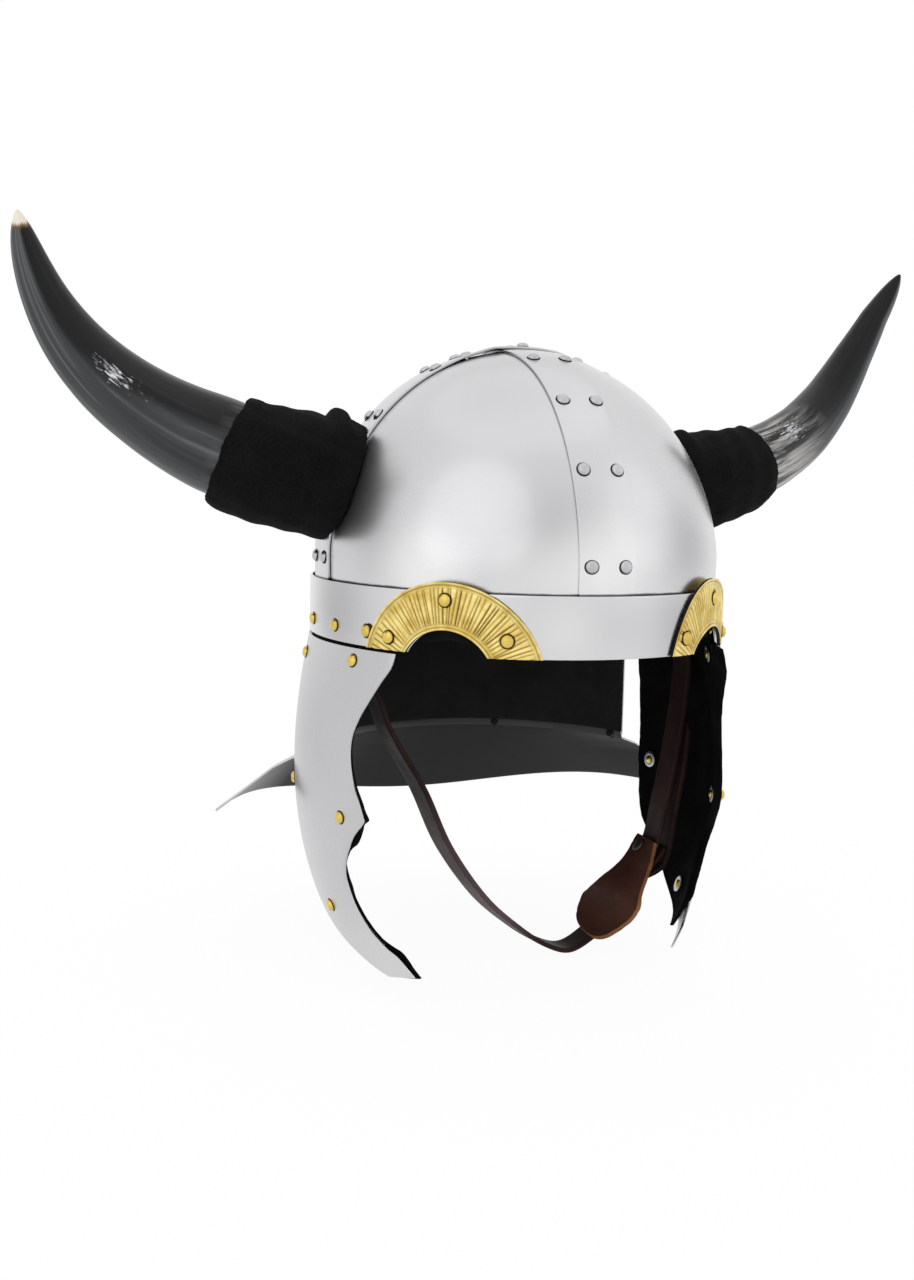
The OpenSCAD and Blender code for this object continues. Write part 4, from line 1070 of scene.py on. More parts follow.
def cheek_plate(side, right):
    rows = cheek_outline(right, 0, 5)
    outer = mirrored(cheek_grid(rows, 26, 0, right), right)
    inner = mirrored(cheek_grid(rows, 26, -STEEL, right), right)
    piece = sheet_solid(f"cheek_steel_{side}", outer, inner, STEEL_GUARD, 0.25)
    dress(piece, f"cheek_guard_{side}_body", "polished_steel", f"cheek_plate_{side}")


def rough_edge(grid, amount, seed):
    """Pushes the outermost points of a leather in and out, as knife cuts leave them."""
    local = np.random.RandomState(seed)
    rows, cols = grid.shape[:2]
    for j, k in ((0, 1), (cols - 1, cols - 2)):
        push = np.convolve(local.uniform(-1, 1, rows + 4), np.ones(3) / 3, "same")[2:-2] * amount
        away = grid[:, j] - grid[:, k]
        length = np.maximum(np.linalg.norm(away, axis=1), 0.3)
        grid[:, j] += away / length[:, None] * push[:, None]
    return grid


def cheek_leather(side, right):
    """One leather: riveted behind the brow band above, lining the guard below."""
    cheek_rows = cheek_outline(right, 0.6, 5)
    if not right:
        cheek_rows = [row for row in cheek_rows if row[1][1] - row[0][1] > 1.5]
    cols = 30
    f = np.linspace(0, 1, cols)
    front_lead = (SHOW_RIGHT if right else SHOW_LEFT)[0][1]

    def face(inner):
        high = LEATHER_IN if inner else BAND_OUT - HAIR
        low = -STEEL - CHEEK_GAP - (LEATHER if inner else 0.0)
        angles = CHEEK_FRONT + (CHEEK_REAR - CHEEK_FRONT) * f
        rows = []
        for z in np.linspace(HINGE_TOP, 0.6, 11):
            t = smooth_step((6 - z) / 6)
            lead = -front_lead * t * (1 - f) ** 4
            rows.append(wall_pt(angles + (f - 0.5) * 1.2 * t + lead, z, high + (low - high) * t))
        grid = np.concatenate([np.array(rows), cheek_grid(cheek_rows, cols, low, right)])
        bend = 0.3 * np.sin(np.arange(len(grid)) * 0.23)[:, None] * np.sin(f * 9.0)[None, :]
        if inner:
            grid[..., 0] += 0.25 * bend
        if not right:
            first = len(grid) - len(cheek_rows)
            for i in range(first, len(grid)):
                out = outward(grid[i, 0] * np.array([1.0, 0.8, 0.0]))
                push = read_table(PUSH_LEFT, -grid[i, 0, 2])
                grid[i, 0] += push * out
                grid[i, 1] += 0.5 * push * out
        return rough_edge(grid, 0.55, 21 if right else 22)

    piece = sheet_solid(f"cheek_leather_{side}", mirrored(face(False), right), mirrored(face(True), right),
                        BLACK_LEATHER, 0.5, 3, sharp=0)
    dress(piece, None, "black_leather", f"hinge_leather_{side}", f"cheek_lining_{side}")
    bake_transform(piece)


def cheek_fittings(side, right):
    spots = []
    discs = []
    flip = np.array([-1.0 if right else 1.0, 1.0, 1.0])
    back = STEEL + CHEEK_GAP + LEATHER + 1.2
    for a, d in CHEEK_RIVETS if right else CHEEK_RIVETS[:-1] + [LEFT_LOW_RIVET]:
        n = cheek_normal(a, d)
        p = cheek_pt(a, d, 0)
        spots.append(((p + SEAT * n) * flip, n * flip, brass_profile(2 * SEAT + back)))
        discs.append(((p - back * n) * flip, n * flip, DISC))
    piece = lathe_group(f"cheek_studs_{side}", spots, BRASS_RIVET)
    dress(piece, f"cheek_guard_{side}_body", "brass_fittings", f"cheek_rivets_{side}")
    piece = lathe_group(f"cheek_discs_{side}", discs, STEEL_RIVET, 32, 0.0, False)
    dress(piece, f"cheek_guard_{side}_body", "rivet_steel", f"cheek_washers_{side}")


# Neck guard

def neck_guard():
    angles = np.linspace(-NECK_HALF, NECK_HALF, 97)
    z = np.linspace(-GUARD_GAP, -NECK_H + 2.6, 18)
    outer = wall_pt(180 + angles[None, :], z[:, None], 0)
    inner = wall_pt(180 + angles[None, :], z[:, None], -STEEL)
    piece = sheet_solid("neck_steel", outer, inner, STEEL_GUARD, 0.25)
    dress(piece, "neck_guard_body", "polished_steel", "neck_plate")
    outer_rows = []
    inner_rows = []
    for a in angles:
        row_out = [wall_pt(180 + a, -NECK_H + FLANGE_H, BAND_OUT)]
        row_in = [wall_pt(180 + a, -NECK_H + FLANGE_H, BAND_IN)]
        ends = ease((abs(a) - 38) / 26)
        for f in np.linspace(0, 1, 22):
            lift = 1.8 * (1 - f) ** 2 + ends * read_table(FLARE_LIFT, f)
            up = unit(np.array([0, 0, 1.0]) + 0.6 * wall_normal(180 + a)) * lift
            row_out.append(flare_pt(a, f, 0) + up)
            row_in.append(flare_pt(a, f, STEEL) + up)
        outer_rows.append(row_out)
        inner_rows.append(row_in)
    piece = sheet_solid("neck_rim", np.array(outer_rows), np.array(inner_rows), STEEL_GUARD, 0.25)

    def inward(centre, normal):
        return np.dot(normal, outward(centre)) < -0.25

    def folded(centre, normal):
        return centre[2] > -NECK_H + 1.6 and (inward(centre, normal) or normal[2] > 0.2)

    # Painted reflection and shade: the flare's inward faces and its fold get dark steel.
    repaint(piece, STEEL_PAINTED_REFLECTION, inward)
    repaint(piece, STEEL_FOLD_SHADE, folded)
    dress(piece, "neck_guard_body", "polished_steel", "neck_flare")


def neck_leather():
    angles = np.linspace(-NECK_HALF, NECK_HALF, 90)
    z = np.concatenate([np.linspace(HINGE_TOP, 1.0, 10),
                        np.linspace(0.4, -NECK_H + FLANGE_H + 0.1, 30)])

    def face(offset):
        grid = wall_pt(180 + angles[None, :], z[:, None], offset)
        return rough_edge(grid, 0.5, 31)

    piece = sheet_solid("neck_leather", face(BAND_OUT - HAIR), face(LEATHER_IN), BLACK_LEATHER_LIT, 0.5, 3,
                        sharp=0)
    dress(piece, None, "black_leather", "hinge_leather_neck", "neck_lining")
    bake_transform(piece)


def neck_fittings():
    spots = []
    for a in FLARE_RIVETS:
        spots.append((wall_pt(180 + a, -NECK_H + FLANGE_H / 2 + 0.6, SEAT), wall_normal(180 + a),
                      rivet_profile(STEEL_HEAD, 2 * SEAT - BAND_IN)))
    for a in NECK_RIVETS:
        spots.append((wall_pt(180 + a, NECK_RIVET_Z, SEAT), wall_normal(180 + a),
                      rivet_profile(STEEL_HEAD, 2 * SEAT - LEATHER_IN)))
    piece = lathe_group("neck_studs", spots, STEEL_RIVET)
    # Painted shade: the rivet faces turned into the helmet get the dark material.
    repaint(piece, PAINTED_SHADE, lambda centre, normal: np.dot(normal, outward(centre)) < -0.1)
    dress(piece, "neck_guard_body", "rivet_steel", "neck_rivets")


# Horns and sleeves

class HornLine:
    """Middle line of a left horn and the rings round it. The bow shifts the line at each of HORN_BOW."""

    def __init__(self, tip, radius, power, bow, shifts, swell):
        root = on_bowl(np.array([HALF_WIDTH, 0.0, HORN_ROOT]), np.array([1.0, 0.0, 0.0]), BAND_OUT + BULGE)
        root = root + np.array([1.8, 0, 0])
        self.points = [root, root + HORN_LEAVE, np.array([HORN_REACH, 0, 0]) + HORN_BEND,
                       np.array([HORN_REACH, HORN_BACK, tip])]
        self.radius = radius
        self.power = power
        self.bow = np.array(bow)
        self.shifts = shifts
        self.swell = swell
        t = np.linspace(0, 1, 401)
        self.lengths = run_along(np.array([self.at(v) for v in t]))
        self.params = t
        self.whole = self.lengths[-1]

    def at(self, t):
        p = self.points
        bow = self.bow * float(np.interp(t, HORN_BOW, self.shifts))
        return bow + ((1 - t) ** 3 * p[0] + 3 * (1 - t) ** 2 * t * p[1] + 3 * (1 - t) * t * t * p[2]
                      + t ** 3 * p[3])

    def param(self, length):
        return float(np.interp(length, self.lengths, self.params))

    def frame(self, t):
        d = unit(self.at(t + 0.001) - self.at(t - 0.001))
        u = unit(np.cross([0, 1, 0], d))
        return d, u, np.cross(d, u)

    def thick(self, share):
        fuller = (1 + 0.03 * ease((share - 0.6) / 0.3) - 0.06 * max(0.0, 1 - share / 0.16)
                  + 0.6 * max(0.0, (share - 0.72) / 0.28) ** 3.0
                  + self.swell * math.exp(-((share - 0.3) / 0.1) ** 2))
        return self.radius * max(0.0, 1 - share ** 2.03) ** self.power * fuller

    def ring(self, length, radii):
        t = self.param(length)
        _, u, v = self.frame(t)
        n = len(radii)
        a = 2 * np.pi * np.arange(n) / n
        return self.at(t) + radii[:, None] * (np.cos(a)[:, None] * u + np.sin(a)[:, None] * v)

    def root_ring(self, radii, offset=0.15):
        ring = self.ring(0, radii)
        return np.array([on_bowl(q, unit(HORN_LEAVE), BAND_OUT + BULGE + offset) for q in ring])


LINE_RIGHT = HornLine(199.5, 24.4, 0.8, (-0.6, 0, 0.8), [0, -1.6, -0.8, 0, 0.5, 0.5, 0.3, 0], 0.05)
LINE_LEFT = HornLine(203.0, 20.2, 0.76, (-0.8, 0, 0.6), [0, 0, -1.0, -1.6, -0.6, 1.8, 2.4, 0], 0.0)


def horn(side, right):
    line = LINE_RIGHT if right else LINE_LEFT
    material = HORN_RIGHT if right else HORN_LEFT
    n = HORN_TURNS
    a = 2 * np.pi * np.arange(n) / n
    rings = []
    shares = []
    for s in np.linspace(HORN_HOLLOW, 0.03, 12):
        wall = HORN_WALL if s < HORN_HOLLOW - 0.01 else line.thick(s) - 1.0
        rings.append(line.ring(s * line.whole, np.full(n, line.thick(s) - wall)))
        shares.append(s)
    for wall in (HORN_WALL, 0.0):
        rings.append(line.root_ring(np.full(n, line.thick(0) - wall)))
        shares.append(0)
    for i in range(1, 120):
        s = min(1 - (1 - i / 119) ** 1.25, 0.9975)
        ridge = (0.0055 * np.sin(7 * a + 3 * s) + 0.004 * np.sin(11 * a - 5 * s)
                 + 0.006 * math.sin(46 * s + 1.0) * math.exp(-3 * s) + 0.004 * np.sin(3 * a + 9 * s))
        rings.append(line.ring(s * line.whole, line.thick(s) * (1 + ridge)))
        shares.append(s)
    rings = np.array([mirrored(ring, right) for ring in rings])
    u = np.tile(np.abs(2 * np.arange(n) / n - 1), len(rings))
    v = np.repeat(shares, n)
    piece = tube(f"horn_shell_{side}", rings, material, uvs=np.stack([u, v], -1))
    dress(piece, "helmet", "dark_horn", f"horn_{side}")


def sleeve(side, right):
    """Suede sleeve, wrinkled, with its open end cut unevenly and a fold along the bowl."""
    line = LINE_RIGHT if right else LINE_LEFT
    flare = SLEEVE_FLARES[0 if right else 1]
    length = SLEEVE_LENGTHS[0 if right else 1]
    local = np.random.RandomState(41 if right else 42)
    rows = 64
    a = 2 * np.pi * np.arange(120) / 120
    phases = local.uniform(0, 6.28, 12)

    def wrinkle(share):
        w = 0.55 * np.sin(3 * a + phases[0] + 2.2 * share) * (0.4 + 0.6 * share)
        w = w + 0.35 * np.sin(5 * a + phases[1] - 3.0 * share)
        w = w + 0.22 * np.sin(9 * a + phases[2] + 5 * share)
        w = w + 0.3 * np.sin(7 * share * 3.1 + 2 * a + phases[3])
        return w + 0.12 * np.sin(17 * a + phases[4] + 9 * share)

    top = np.exp(-((a - np.pi) / 0.75) ** 2)
    front = np.exp(-((a - 1.3 * np.pi) / 0.9) ** 2)
    under = (0.5 + 0.5 * np.cos(a)) ** 1.4

    def lip(share):
        fold = (5.6 if right else 3.0) * np.exp(-((share - 0.09) / 0.085) ** 4) * top
        swell = 2.6 * np.exp(-((share - 0.3) / 0.4) ** 2) * top
        sag = (4.2 if right else 2.4) * under * (0.85 + 0.25 * share - 0.6 * share ** 8)
        return fold + swell + sag - 1.6 * front * (1 - share) ** 6

    end = 1.2 * np.cos(a) + 0.4 * np.sin(2 * a + phases[6]) + 0.25 * np.sin(5 * a + phases[7])
    end = end + 0.3 * np.sin(11 * a + phases[8]) + 0.15 * np.sin(37 * a)

    def ring(share, offset, shake):
        along = length * share
        r = line.thick(along / line.whole) + 0.35 + flare * (1 - share) ** 1.6 + offset
        radii = r + shake * np.maximum(-0.6, wrinkle(share)) + lip(share)
        if share <= 0:
            return line.root_ring(radii, 0.15)
        p = line.ring(along, radii)
        d, _, _ = line.frame(line.param(along))
        return p + d * (end * share ** 2)[:, None]

    shares = [i / (rows - 1) for i in range(rows)]
    outer = [ring(share, SUEDE, 1.0) for share in shares]
    inner = [ring(share, 0.0, 0.0) for share in reversed(shares)]
    rings = np.array([mirrored(r, right) for r in outer + inner])
    piece = tube(f"suede_{side}", rings, BLACK_SUEDE, closed_ends=False, loop=True, sharp=0)
    dress(piece, "helmet", "black_suede", f"horn_sleeve_{side}")


# Liner

def liner_band():
    angles = np.arange(0, 360, 1.5)
    z = np.linspace(LINER_Z, LINER_Z + LINER_H, 14)
    bottom = np.full(len(angles), LINER_Z)
    for i, a in enumerate(angles):
        u = across_eye(min(a, 360 - a))
        if abs(u) < LINER_EYE_R - 0.1:
            bottom[i] = max(LINER_Z, math.sqrt(LINER_EYE_R ** 2 - u * u) - EYE_DROP)
    share = (z - LINER_Z) / LINER_H
    heights = bottom[None, :] + (LINER_Z + LINER_H - bottom[None, :]) * share[:, None]
    outer = wall_pt(angles[None, :], heights, LINER_OUT)
    inner = wall_pt(angles[None, :], heights, LINER_IN)
    piece = sheet_solid("liner_ring", outer, inner, LINER_LEATHER, 0.4, 3, wrap=True, sharp=0)
    dress(piece, "helmet", "liner_leather", "liner_band")


def hammock_pt(angle, elevation, offset):
    a = np.radians(angle)
    e = np.radians(elevation)
    return stack((HALF_WIDTH + offset) * np.cos(e) * np.sin(a),
                 -(HALF_LENGTH + offset) * np.cos(e) * np.cos(a),
                 LINER_Z + LINER_H + HAMMOCK_H * np.sin(e))


def liner_tongues():
    pieces = []
    f = np.linspace(-1, 1, 15)
    for k in range(TONGUES):
        centre = (k + 0.5) * 360 / TONGUES
        half = 360 / TONGUES * 0.4

        def face(offset):
            rows = []
            foot = hammock_pt(centre + half * f, 0, offset)
            for drop in (6.5, 4.0, 2.0):
                rows.append(foot - np.array([0, 0, drop]))
            for e in np.linspace(0, TONGUE_END, 34):
                s = e / TONGUE_END
                pinch = 1 - 0.12 * smooth_step((s - 0.1) / 0.5) - 0.1 * smooth_step((s - 0.9) / 0.1)
                swell = offset - 0.25 * math.sin(s * math.pi * 2.3) * (1 - f ** 2)
                rows.append(hammock_pt(centre + half * f * pinch, e, np.minimum(offset, swell)))
            return np.array(rows)

        pieces.append(sheet_solid(f"tongue_{k}", face(TONGUE_OUT), face(TONGUE_OUT - LINER), LINER_LEATHER,
                                  0.4, 3, sharp=0))
    whole = join(pieces, "liner_petals")
    dress(whole, "helmet", "liner_leather", "liner_tongues")


def join(pieces, name):
    bpy.ops.object.select_all(action="DESELECT")
    for piece in pieces:
        piece.select_set(True)
    bpy.context.view_layer.objects.active = pieces[0]
    bpy.ops.object.join()
    whole = bpy.context.view_layer.objects.active
    whole.name = name
    whole.data.name = name
    return whole


def round_bar(name, path, radius, material, loop=False, turns=14, squeeze=1.0, ends=True):
    """Round or flattened bar along a list of points."""
    path = np.asarray(path, float)
    n = len(path)
    rings = []
    up = None
    for i in range(n):
        if loop:
            d = unit(path[(i + 1) % n] - path[i - 1])
        else:
            d = unit(path[min(i + 1, n - 1)] - path[max(i - 1, 0)])
        if up is None:
            up, _ = basis(d)
        up = unit(up - d * (up @ d))
        side = np.cross(d, up)
        r = radius[i] if hasattr(radius, "__len__") else radius
        a = 2 * np.pi * np.arange(turns) / turns
        rings.append(path[i] + r * (np.cos(a)[:, None] * up * squeeze + np.sin(a)[:, None] * side))
    uvs = np.stack([np.tile(np.arange(turns) / turns, n), np.repeat(np.arange(n) / n, turns)], -1)
    return tube(name, rings, material, closed_ends=ends, loop=loop, uvs=uvs)


def liner_lace():
    e = math.radians(TONGUE_END - 2)
    top = LINER_Z + LINER_H + HAMMOCK_H * math.sin(e) + 1.5 / math.tan(e) + 1.0
    a = np.radians(np.arange(0, 360, 2.0))
    wave = 0.5 * np.sin(8 * a)
    x = ((HALF_WIDTH + TONGUE_OUT) * math.cos(e) + wave) * np.sin(a)
    y = -((HALF_LENGTH + TONGUE_OUT) * math.cos(e) + wave) * np.cos(a)
    z = top + 0.25 * np.sin(8 * a + 1)
    piece = round_bar("lace_loop", stack(x, y, z), 1.3, STRAP_LEATHER, loop=True, squeeze=0.55)
    dress(piece, "helmet", "brown_leather", "liner_lace")


# Chin strap and buckle

STRAP_OUT = LINER_IN - LAY
STRAP_EDGE = (STRAP_W / 2 - STRAP_Y) / (HALF_LENGTH + STRAP_OUT)
STRAP_X = (HALF_WIDTH + STRAP_OUT) * math.sqrt(1 - STRAP_EDGE ** 2) - STRAP_T / 2 - LAY
STRAP_GRIP = float(wall_pt(STRAP_ANGLE, 0, 0)[0]) - STRAP_X + STRAP_T / 2 + 0.3
# The buckle's bar and the strap's way down the buckle, in x and z. BAR_GAP is the play round the bar.
BAR_GAP = 0.15
BAR_UP = np.array([HALF_WIDTH - 27, -126.0])
BAR_DIR = np.array([-0.64, -0.768])
BAR_IN = np.array([-0.768, 0.64])
BAR_LOW = BAR_UP + BUCKLE_LEN * BAR_DIR
OVER_BAR = WIRE + STRAP_T * 1.5 + 1.6
UNDER_BAR = WIRE + STRAP_T / 2 + 0.3
H = HALF_WIDTH
LONG_ROUTE = [[-STRAP_X, BROW_RIVET_Z + 6], [-STRAP_X, 1], [14 - H, -14], [26 - H, -29], [32 - H, -45],
              [39 - H, -58], [-52, -80], [-38, -110], [-18, -138], [2, -156], [18, -166.5], [32, -170.6],
              [45, -164.5], [55, -155.2], BAR_LOW + UNDER_BAR * BAR_IN, BAR_UP - OVER_BAR * BAR_IN,
              BAR_UP - OVER_BAR * BAR_IN - 10 * BAR_DIR, [H - 11, -98], [H - 6.8, -70], [H - 5.1, -48]]
SHORT_ROUTE = [[STRAP_X, BROW_RIVET_Z + 6], [STRAP_X, 1], [H - 6.8, -17], [H - 8.2, -38], [H - 12, -66],
               [H - 17.4, -94], BAR_UP + (WIRE + STRAP_T / 2 + BAR_GAP) * BAR_IN - 12 * BAR_DIR,
               BAR_UP + (WIRE + STRAP_T / 2 + BAR_GAP) * BAR_IN]
SHIELD_LIFT = WIRE + STRAP_T + 0.5 + SHIELD_T / 2
SHIELD_LINE = [BAR_UP + (SHIELD_LIFT + 0.1) * BAR_IN - 11 * BAR_DIR, BAR_UP + (SHIELD_LIFT + 0.3) * BAR_IN,
               BAR_LOW + (SHIELD_LIFT + 2.5) * BAR_IN, BAR_LOW + np.array([-11.24, -6.61]),
               BAR_LOW + np.array([-17.84, -15.41]), BAR_LOW + np.array([-23.84, -19.91])]


# Holes in the strap: the prong's, with the slots that it needs in each part, and three spare ones,
# by their distance from the strap's end.
PRONG_HOLE = 2.2
LONG_SLOT = 8.0
SHORT_SLOT = 6.0
SPARE_HOLE = 1.6
SPARE_HOLES = (16, 30, 44)
CUT_REACH = 12
BUCKLE_CORNER = 1.3
# The shield's half width at its top, and the degrees by which it turns.
SHIELD_TOP = 9
SHIELD_TURN = -17


def route_normals(route):
    ahead = np.roll(route, -1, axis=0)
    ahead[-1] = route[-1]
    behind = np.roll(route, 1, axis=0)
    behind[0] = route[0]
    d = ahead - behind
    n = np.stack([-d[:, 1], d[:, 0]], -1)
    return n / np.linalg.norm(n, axis=1)[:, None]


def ribbon(name, route, width, thick, material, taper=None, twisted=0.0):
    """Flat leather strap with softly rounded edges along a route in x and z."""
    route = np.asarray(route, float)
    normals = route_normals(route)
    n = len(route)
    right_half = [(0, 0.96), (0.4, 0.97), (0.8, 1.0), (0.94, 0.97), (0.985, 0.72), (1, 0.25)]
    upper = [(-u, w) for u, w in right_half[:0:-1]] + right_half
    ring_profile = upper + [(u, -w) for u, w in reversed(upper)]
    rings = []
    uvs = []
    run = run_along(route)
    for i in range(n):
        w = width / 2 * (taper(run[i], run[-1]) if taper else 1.0)
        ring = []
        twist = 0.17 * width * twisted * float(np.sin(np.pi * np.clip(run[i] / 260, 0, 1)))
        for u, h in ring_profile:
            q = route[i] + normals[i] * (h * thick / 2 - u * twist / 2)
            ring.append([q[0], STRAP_Y + u * w, q[1]])
            uvs.append((u * width / 200, run[i] / 100))
        rings.append(ring)
    return tube(name, rings, material, uvs=np.array(uvs), sharp=60)


def at_bar(along):
    """A point at the buckle, and its directions down the strap and outwards."""
    x = np.array([BAR_DIR[0], 0, BAR_DIR[1]])
    z = -np.array([BAR_IN[0], 0, BAR_IN[1]])
    p = np.array([BAR_UP[0], STRAP_Y, BAR_UP[1]]) + along * x
    return p, x, z


def drill(centre, axis, radius, reach, slot=0.0, slot_dir=None):
    """Cutter for a round hole, or for one that is longer by a slot."""
    u, v = basis(axis)
    if slot_dir is not None:
        u = slot_dir
        v = np.cross(axis, u)
    rings = []
    for h in (-reach, reach):
        ring = []
        for k in range(24):
            a = 2 * math.pi * k / 24
            shift = slot / 2 * (1 if math.cos(a) > 0 else -1)
            ring.append(centre + axis * h + u * (radius * math.cos(a) + shift) + v * radius * math.sin(a))
        rings.append(ring)
    return tube("cutter", rings, STRAP_LEATHER)


def chin_strap():
    route = through(LONG_ROUTE, 8)
    piece = ribbon("strap_long", route, STRAP_W, STRAP_T, STRAP_LEATHER,
                   lambda s, whole: min(1.0, 0.25 + (max(0.0, whole - s) / 9) ** 0.5), 1.0)
    p, x, z = at_bar(8.75)
    cut(piece, drill(p, z, PRONG_HOLE, CUT_REACH, LONG_SLOT, x))
    normals = route_normals(route)
    run = run_along(route)
    for back in SPARE_HOLES:
        i = int(np.searchsorted(run, run[-1] - back))
        centre = np.array([route[i][0], STRAP_Y, route[i][1]])
        cut(piece, drill(centre, np.array([normals[i][0], 0, normals[i][1]]), SPARE_HOLE, 4))
    dress(piece, "helmet", "brown_leather", "chin_strap_long")
    route = through(SHORT_ROUTE, 8)
    arc = []
    r = WIRE + BAR_GAP + STRAP_T / 2
    start = math.atan2(BAR_IN[1], BAR_IN[0])
    for k in range(1, 13):
        a = start + math.pi * k / 12
        arc.append(BAR_UP + r * np.array([math.cos(a), math.sin(a)]))
    tail = [BAR_UP - r * BAR_IN - s * BAR_DIR for s in (3, 6, 9, 12)]
    route = np.concatenate([route, arc, tail])
    piece = ribbon("strap_short", route, STRAP_W, STRAP_T, STRAP_LEATHER)
    p, x, z = at_bar(0)
    cut(piece, drill(p + 2.0 * x, z, PRONG_HOLE, CUT_REACH, SHORT_SLOT, x))
    dress(piece, "helmet", "brown_leather", "chin_strap_short")


def buckle():
    half = STRAP_W / 2 + 1 + WIRE
    p, x, z = at_bar(0)
    y = np.array([0, 1.0, 0])
    corner = BUCKLE_CORNER
    path = []
    corners = [(0, -half), (BUCKLE_LEN, -half), (BUCKLE_LEN, half), (0, half)]
    turns = [(180, 270), (270, 360), (0, 90), (90, 180)]
    for (cx, cy), (t0, t1) in zip(corners, turns):
        ox = cx + (corner if cx == 0 else -corner)
        oy = cy + (corner if cy < 0 else -corner)
        for t in np.linspace(t0, t1, 7):
            a = math.radians(t)
            path.append(p + (ox + corner * math.cos(a)) * x + (oy + corner * math.sin(a)) * y)
    full = []
    for a, b in zip(path, path[1:] + path[:1]):
        count = max(1, int(np.linalg.norm(b - a) / 2.5))
        for k in range(count):
            full.append(a + (b - a) * k / count)
    piece = round_bar("buckle_wire", full, WIRE * 0.985, BRASS_RIVET, loop=True, turns=18)
    dress(piece, "helmet", "brass_fittings", "buckle_frame")
    lift = WIRE + PRONG_R + 0.3
    steps = 30
    path = []
    radii = []
    for k in range(14):
        a = math.radians(330 - 300 * k / 13)
        path.append(p + (WIRE + PRONG_PLAY + PRONG_EYE) * (math.cos(a) * x + math.sin(a) * z))
        radii.append(PRONG_EYE + 0.3 * smooth_step(k / 13))
    stem = unit(x * BUCKLE_LEN + z * lift)
    first = path[-1]
    end = p + stem * (math.hypot(BUCKLE_LEN, lift) + 1.6)
    for k in range(1, steps + 1):
        t = k / steps
        path.append(first + (end - first) * t + z * 0.25 * math.sin(t * math.pi))
        radii.append(min(PRONG_R, PRONG_EYE + 0.3 + 0.8 * t) * (1 - 0.35 * t ** 6) if k < steps else 0.35)
    piece = round_bar("prong_wire", np.array(path), np.array(radii), BRASS_RIVET, turns=16)
    dress(piece, "prong", "brass_fittings", "buckle_prong")


def shield():
    """Leather shield behind the buckle: a leaf that widens downwards, a little cupped."""
    line = through(SHIELD_LINE, 10)
    normals = route_normals(line)
    n = len(line) - 1
    across = np.linspace(-1, 1, 21)

    def half_width(f):
        if f < 0.6:
            return SHIELD_TOP + (SHIELD_W / 2 - SHIELD_TOP) * ease((f - 0.22) / 0.38)
        return SHIELD_W / 2 * math.sqrt(max(0.06, 1 - ((f - 0.6) / 0.41) ** 2))

    def face(offset):
        rows = []
        for i in range(n + 1):
            f = i / n
            turn = math.radians(SHIELD_TURN * ease(f / 0.7))
            w = half_width(f) * across
            cup = 5.0 * np.maximum(0, -across) ** 2 * math.exp(-((f - 0.3) / 0.26) ** 2)
            w = w * np.where(across > 0, 1 + 0.3 * math.exp(-((f - 0.5) / 0.2) ** 2), 1.0)
            lift = w * math.sin(turn) + offset + cup
            q = line[i][None, :] + normals[i][None, :] * lift[:, None]
            slide = SHIELD_SHIFT * ease(f / 0.6) + 9 * math.exp(-((f - 0.42) / 0.2) ** 2)
            y = STRAP_Y - slide + w * math.cos(turn)
            rows.append(stack(q[:, 0], y, q[:, 1]))
        return np.array(rows)

    local = np.random.RandomState(51)
    nick = np.convolve(local.uniform(-1, 1, n + 3), [0.25, 0.5, 0.25], "valid") * 0.5
    both = [face(SHIELD_T / 2), face(-SHIELD_T / 2)]
    for grid in both:
        grid[:, 0, 1] -= np.abs(nick) * 1.6
        grid[:, -1, 1] += nick
    piece = sheet_solid("shield_leaf", both[0], both[1], SHIELD_LEATHER, 0.5, 3, sharp=0)

    def at_edge(centre, normal):
        i = int(np.argmin(np.linalg.norm(line - centre[[0, 2]], axis=1)))
        return abs(normals[i] @ normal[[0, 2]]) < 0.45

    repaint(piece, RAW_EDGE, at_edge)
    dress(piece, "helmet", "shield_leather", "buckle_shield")
    q = BAR_UP - 5 * BAR_DIR
    centre = np.array([q[0], STRAP_Y, q[1]])
    n3 = np.array([BAR_IN[0], 0, BAR_IN[1]])
    top = SHIELD_LIFT + SHIELD_T / 2 + 0.4
    profile = rivet_profile(STEEL_HEAD * 1.25, top + WIRE + BAR_GAP + STRAP_T + 0.1, 0.6)
    piece = lathe_group("shield_stud", [(centre + top * n3, n3, profile)], DULL_RIVET, 28, 0.0)
    dress(piece, "helmet", "rivet_steel", "shield_rivet")


def plain_nodes():
    """Hidden fittings keep their CAD solids and get worked materials."""
    wanted = {"horn_plug_right": WOOD, "horn_plug_left": WOOD, "horn_bolts": STEEL_RIVET,
              "horn_washers": STEEL_RIVET}
    for name, material in wanted.items():
        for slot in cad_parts[name].material_slots:
            slot.material = material


# Stage

def seen_directly(look):
    """One for rays that see a surface straight, in a mirror or through glass."""
    path = look.nodes.new("ShaderNodeLightPath")
    seen = look.math("MAXIMUM", path.outputs["Is Camera Ray"], path.outputs["Is Glossy Ray"])
    return look.math("MAXIMUM", seen, path.outputs["Is Transmission Ray"])


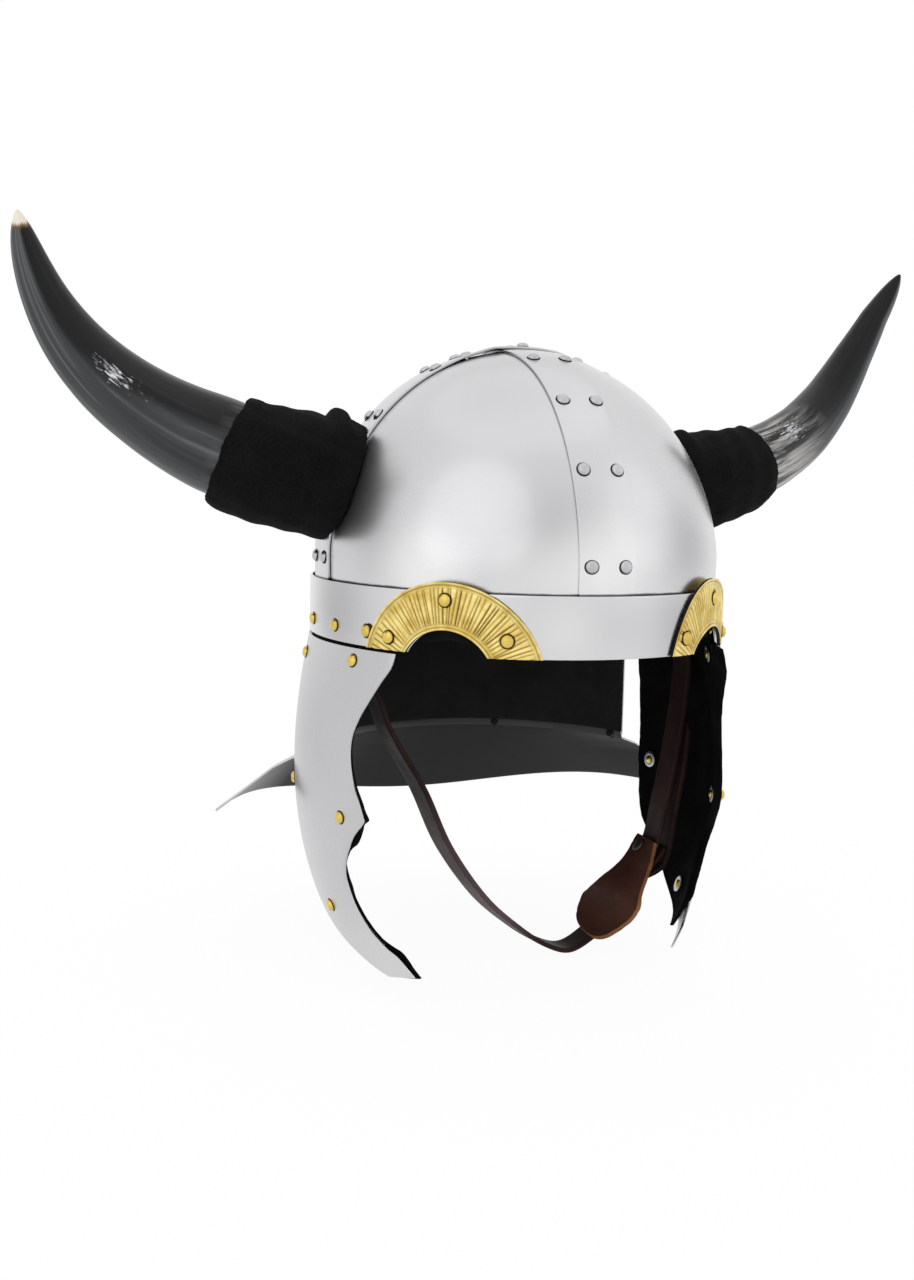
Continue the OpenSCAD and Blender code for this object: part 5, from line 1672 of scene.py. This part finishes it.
def floor():
    low = CAD_BOX[0][2] - 0.0005
    mesh = bpy.data.meshes.new("floor")
    corners = [(-FLOOR_REACH, -FLOOR_REACH, low), (FLOOR_REACH, -FLOOR_REACH, low),
               (FLOOR_REACH, FLOOR_REACH, low), (-FLOOR_REACH, FLOOR_REACH, low)]
    mesh.from_pydata(corners, [], [(0, 1, 2, 3)])
    ground = bpy.data.objects.new("floor", mesh)
    bpy.context.scene.collection.objects.link(ground)
    look = new_look("floor_paint")
    look.surface(base_color=(0.97, 0.97, 0.97), roughness=0.9, specular=0.1)
    glow = look.add("Emission", "Emission", {})
    middle = look.add("VectorMath", "Value", {0: look.add("TexCoord", "Object", {})}, operation="LENGTH")
    share = look.math("MULTIPLY", seen_directly(look), look.scaled(middle, 0.3, 0.9, 0.95, 1.0))
    paint = look.add("MixShader", "Shader", {0: share, 1: look.shader.outputs["BSDF"], 2: glow})
    look.links.new(paint, look.nodes["Material Output"].inputs["Surface"])
    mesh.materials.append(look.material)


def studio():
    world = bpy.data.worlds.new("studio")
    bpy.context.scene.world = world
    world.use_nodes = True
    look = Look(world.node_tree)
    look.nodes.clear()
    light = look.add("Background", "Background", {"Color": (1.0, 1.0, 1.0), "Strength": 0.95})
    white = look.add("Background", "Background", {"Color": (1.0, 1.0, 1.0), "Strength": 1.0})
    sky = look.add("MixShader", "Shader", {0: seen_directly(look), 1: light, 2: white})
    out = look.nodes.new("ShaderNodeOutputWorld")
    look.links.new(sky, out.inputs["Surface"])


def lamp(name, place, target, size, power):
    data = bpy.data.lights.new(name, "AREA")
    data.shape = "ELLIPSE"
    data.size = size[0]
    data.size_y = size[1]
    data.energy = power
    obj = bpy.data.objects.new(name, data)
    bpy.context.scene.collection.objects.link(obj)
    obj.location = place
    direction = Vector(target) - Vector(place)
    obj.rotation_euler = direction.to_track_quat("-Z", "Y").to_euler()


def lights():
    lamp("key", (-1.9, -1.3, 1.0), (0, 0, 0), (3.0, 3.2), 6)
    lamp("fill", (2.2, -1.6, 1.0), (0, 0, 0), (2.4, 2.8), 2.5)
    lamp("top", (0.0, 0.3, 2.2), (0, 0, 0), (3.0, 3.0), 3)


# The camera that was fitted to the photo: its lens in millimetres, its place, and its axes.
LENS = 40.17
CAMERA_AT = (-0.2779, -0.6939, 0.0797)
CAMERA_RIGHT = (0.9422, -0.3344, 0.0225)
CAMERA_BACK = (-0.3347, -0.9356, 0.1128)


def camera():
    data = bpy.data.cameras.new("camera")
    data.sensor_fit = "AUTO"
    data.sensor_width = 36.0
    data.lens = LENS
    data.clip_start = 0.01
    data.clip_end = 200
    obj = bpy.data.objects.new("camera", data)
    bpy.context.scene.collection.objects.link(obj)
    right = Vector(CAMERA_RIGHT).normalized()
    back = Vector(CAMERA_BACK)
    back = (back - right * back.dot(right)).normalized()
    up = back.cross(right)
    turn = Matrix((right, up, back)).transposed()
    obj.matrix_world = Matrix.Translation(CAMERA_AT) @ turn.to_4x4()
    bpy.context.scene.camera = obj


for rear_name in ("front", "rear"):
    for side_name in ("right", "left"):
        skull_panel(f"shell_{rear_name}_{side_name}", side_name == "left", rear_name == "rear")
bowl_band("band_lengthwise", "front_back_band", False, 0.0, False)
bowl_band("band_crosswise", "ear_to_ear_band", True, SIDE_BAND_Y, True)
brow_band()
eyebrow_plate("eye_arch_right", "eyebrow_plate_right", -1)
eyebrow_plate("eye_arch_left", "eyebrow_plate_left", 1)
bowl_rivets()
for side_name, is_right in (("right", True), ("left", False)):
    cheek_plate(side_name, is_right)
    cheek_leather(side_name, is_right)
    cheek_fittings(side_name, is_right)
    horn(side_name, is_right)
    sleeve(side_name, is_right)
neck_guard()
neck_leather()
neck_fittings()
liner_band()
liner_tongues()
liner_lace()
chin_strap()
buckle()
shield()
plain_nodes()
floor()
studio()
lights()
camera()
bpy.context.scene.view_settings.view_transform = "Standard"
